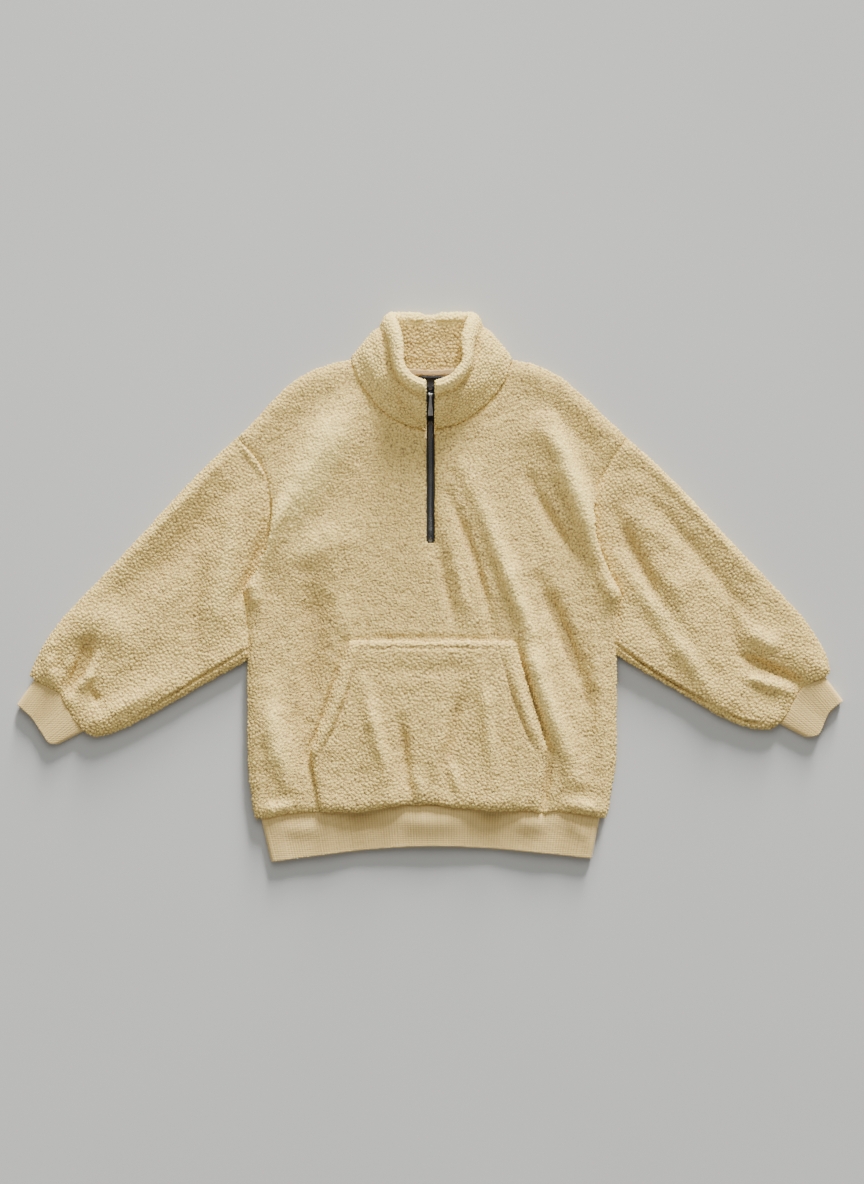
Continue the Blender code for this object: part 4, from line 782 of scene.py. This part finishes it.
def zip_teeth():
    """Teeth left and right in turn, on a core that closes the gap between the tapes."""
    tooth, core = small_block(TOOTH, TOOTH_ROUNDING), small_block(CORE, CORE_ROUNDING)
    placings, core_placings = [], []
    ys, heights, slopes, middle = chain_line()
    for k, (y, height, slope) in enumerate(zip(ys, heights, slopes)):
        side = 1 if k % 2 else -1
        tilt = Matrix.Rotation(math.atan(slope), 4, "X")
        at = Vector((middle + side * TOOTH_ASIDE, y, height))
        placings.append(Matrix.Translation(at * MM) @ tilt)
        under = Vector((middle, y, height - CORE_BELOW))
        core_placings.append(Matrix.Translation(under * MM) @ tilt)
    made = copied(tooth, "zip_teeth", placings)
    laid = copied(core, "zip_core", core_placings)
    for pattern in (tooth, core):
        bpy.data.objects.remove(pattern)
    no_selection()
    laid.select_set(True)
    made.select_set(True)
    bpy.context.view_layer.objects.active = made
    bpy.ops.object.join()
    return finished(made, CHAIN, "garment", "zip_chain", "zip_chain")


def woven_piece(node, name, material, slot):
    made = copy_of(node, name)
    applied(made, "SUBSURF", subdivision_type="SIMPLE", levels=2, render_levels=2)
    return finished(made, material, "garment", slot, node)


zip_teeth()
tape_left = woven_piece("zip_tape_left", "zip_tape_left_woven", ZIP_CLOTH, "zip_cloth")
tape_right = woven_piece("zip_tape_right", "zip_tape_right_woven", ZIP_CLOTH, "zip_cloth")
neck_tape = woven_piece("neck_tape", "neck_tape_woven", NECK_CLOTH, "neck_tape")
label = woven_piece("label", "label_woven", LABEL_CLOTH, "zip_cloth")

for name, material in (("zip_stop", CHAIN), ("zip_slider", SLIDER), ("zip_pull", PULL),
                       ("zip_pull_tip", TIP)):
    nodes[name].data.materials.clear()
    nodes[name].data.materials.append(material)
    weld = nodes[name].modifiers.new("joined corners", "WELD")
    weld.merge_threshold = SAME_POINT * MM
    edges = nodes[name].modifiers.new("worn edges", "BEVEL")
    edges.width, edges.segments, edges.limit_method = WORN_EDGE * MM, 2, "ANGLE"


# Stitching: one stitch, copied along the pocket's stitch lines and laid on the cloth

STITCH_LENGTH, STITCH_PITCH, THREAD_RADIUS, STITCH_ROUNDING = 3.0, 3.9, 0.42, 0.25
FIRST_STITCH_AT, STITCH_LIFT, LINE_POINTS = 2, 0.1, 200
OVER_ALL = 0.2
THREAD = thread_material()


def one_stitch():
    no_selection()
    bpy.ops.mesh.primitive_cylinder_add(vertices=8, radius=THREAD_RADIUS * MM,
                                        depth=STITCH_LENGTH * MM)
    stitch = bpy.context.active_object
    bpy.ops.object.mode_set(mode="EDIT")
    bpy.ops.mesh.select_all(action="SELECT")
    bpy.ops.mesh.bevel(offset=STITCH_ROUNDING * MM, segments=2)
    bpy.ops.object.mode_set(mode="OBJECT")
    return stitch


def on_cloth(cloth, x, y):
    """The cloth's top at x, y in metres, found from a point OVER_ALL metres up."""
    hit, place, _, _ = cloth.ray_cast(Vector((x, y, OVER_ALL)), Vector((0, 0, -1)))
    return place if hit else None


def stitching(name, cloth, lines):
    stitch = one_stitch()
    placings = []
    for line in lines:
        points = bent_line(line, LINE_POINTS)
        steps = np.linalg.norm(np.diff(points, axis=0), axis=1)
        walked = np.concatenate(((0,), np.cumsum(steps)))
        for start in np.arange(FIRST_STITCH_AT, walked[-1] - STITCH_PITCH, STITCH_PITCH):
            ends = []
            for at in (start, start + STITCH_LENGTH):
                plan = np.array([np.interp(at, walked, points[:, k]) for k in (0, 1)])
                ends.append(on_cloth(cloth, *(plan + TABLE_SHIFT) * MM))
            if None in ends:
                continue
            middle, along = (ends[0] + ends[1]) / 2, (ends[1] - ends[0]).normalized()
            turn = along.to_track_quat("Z", "Y").to_matrix().to_4x4()
            placings.append(Matrix.Translation(middle + Vector((0, 0, STITCH_LIFT * MM))) @ turn)
    made = copied(stitch, name, placings)
    bpy.data.objects.remove(stitch)
    return finished(made, THREAD, "garment", "sherpa")


pocket_thread = stitching("pocket_stitching", pocket,
                          (POCKET_TOP_STITCH, POCKET_LEFT_STITCH, POCKET_RIGHT_STITCH))


# Floor, in metres

FLOOR_SIZE = 8


def floor():
    bpy.ops.mesh.primitive_plane_add(size=FLOOR_SIZE)
    made = bpy.context.active_object
    made.name = "floor"
    paper, tree, shader = new_material("floor paint", 0.85)
    at = place_of(tree)
    cloud, grain = noise_of(tree, at, 2.2), noise_of(tree, at, 700)
    colour = ramp(tree, cloud, ((0.3, (0.50, 0.505, 0.50)), (0.7, (0.52, 0.526, 0.518))))
    finish_material(tree, shader, colour, grain, 0.05, 0.0003)
    made.data.materials.append(paper)


floor()
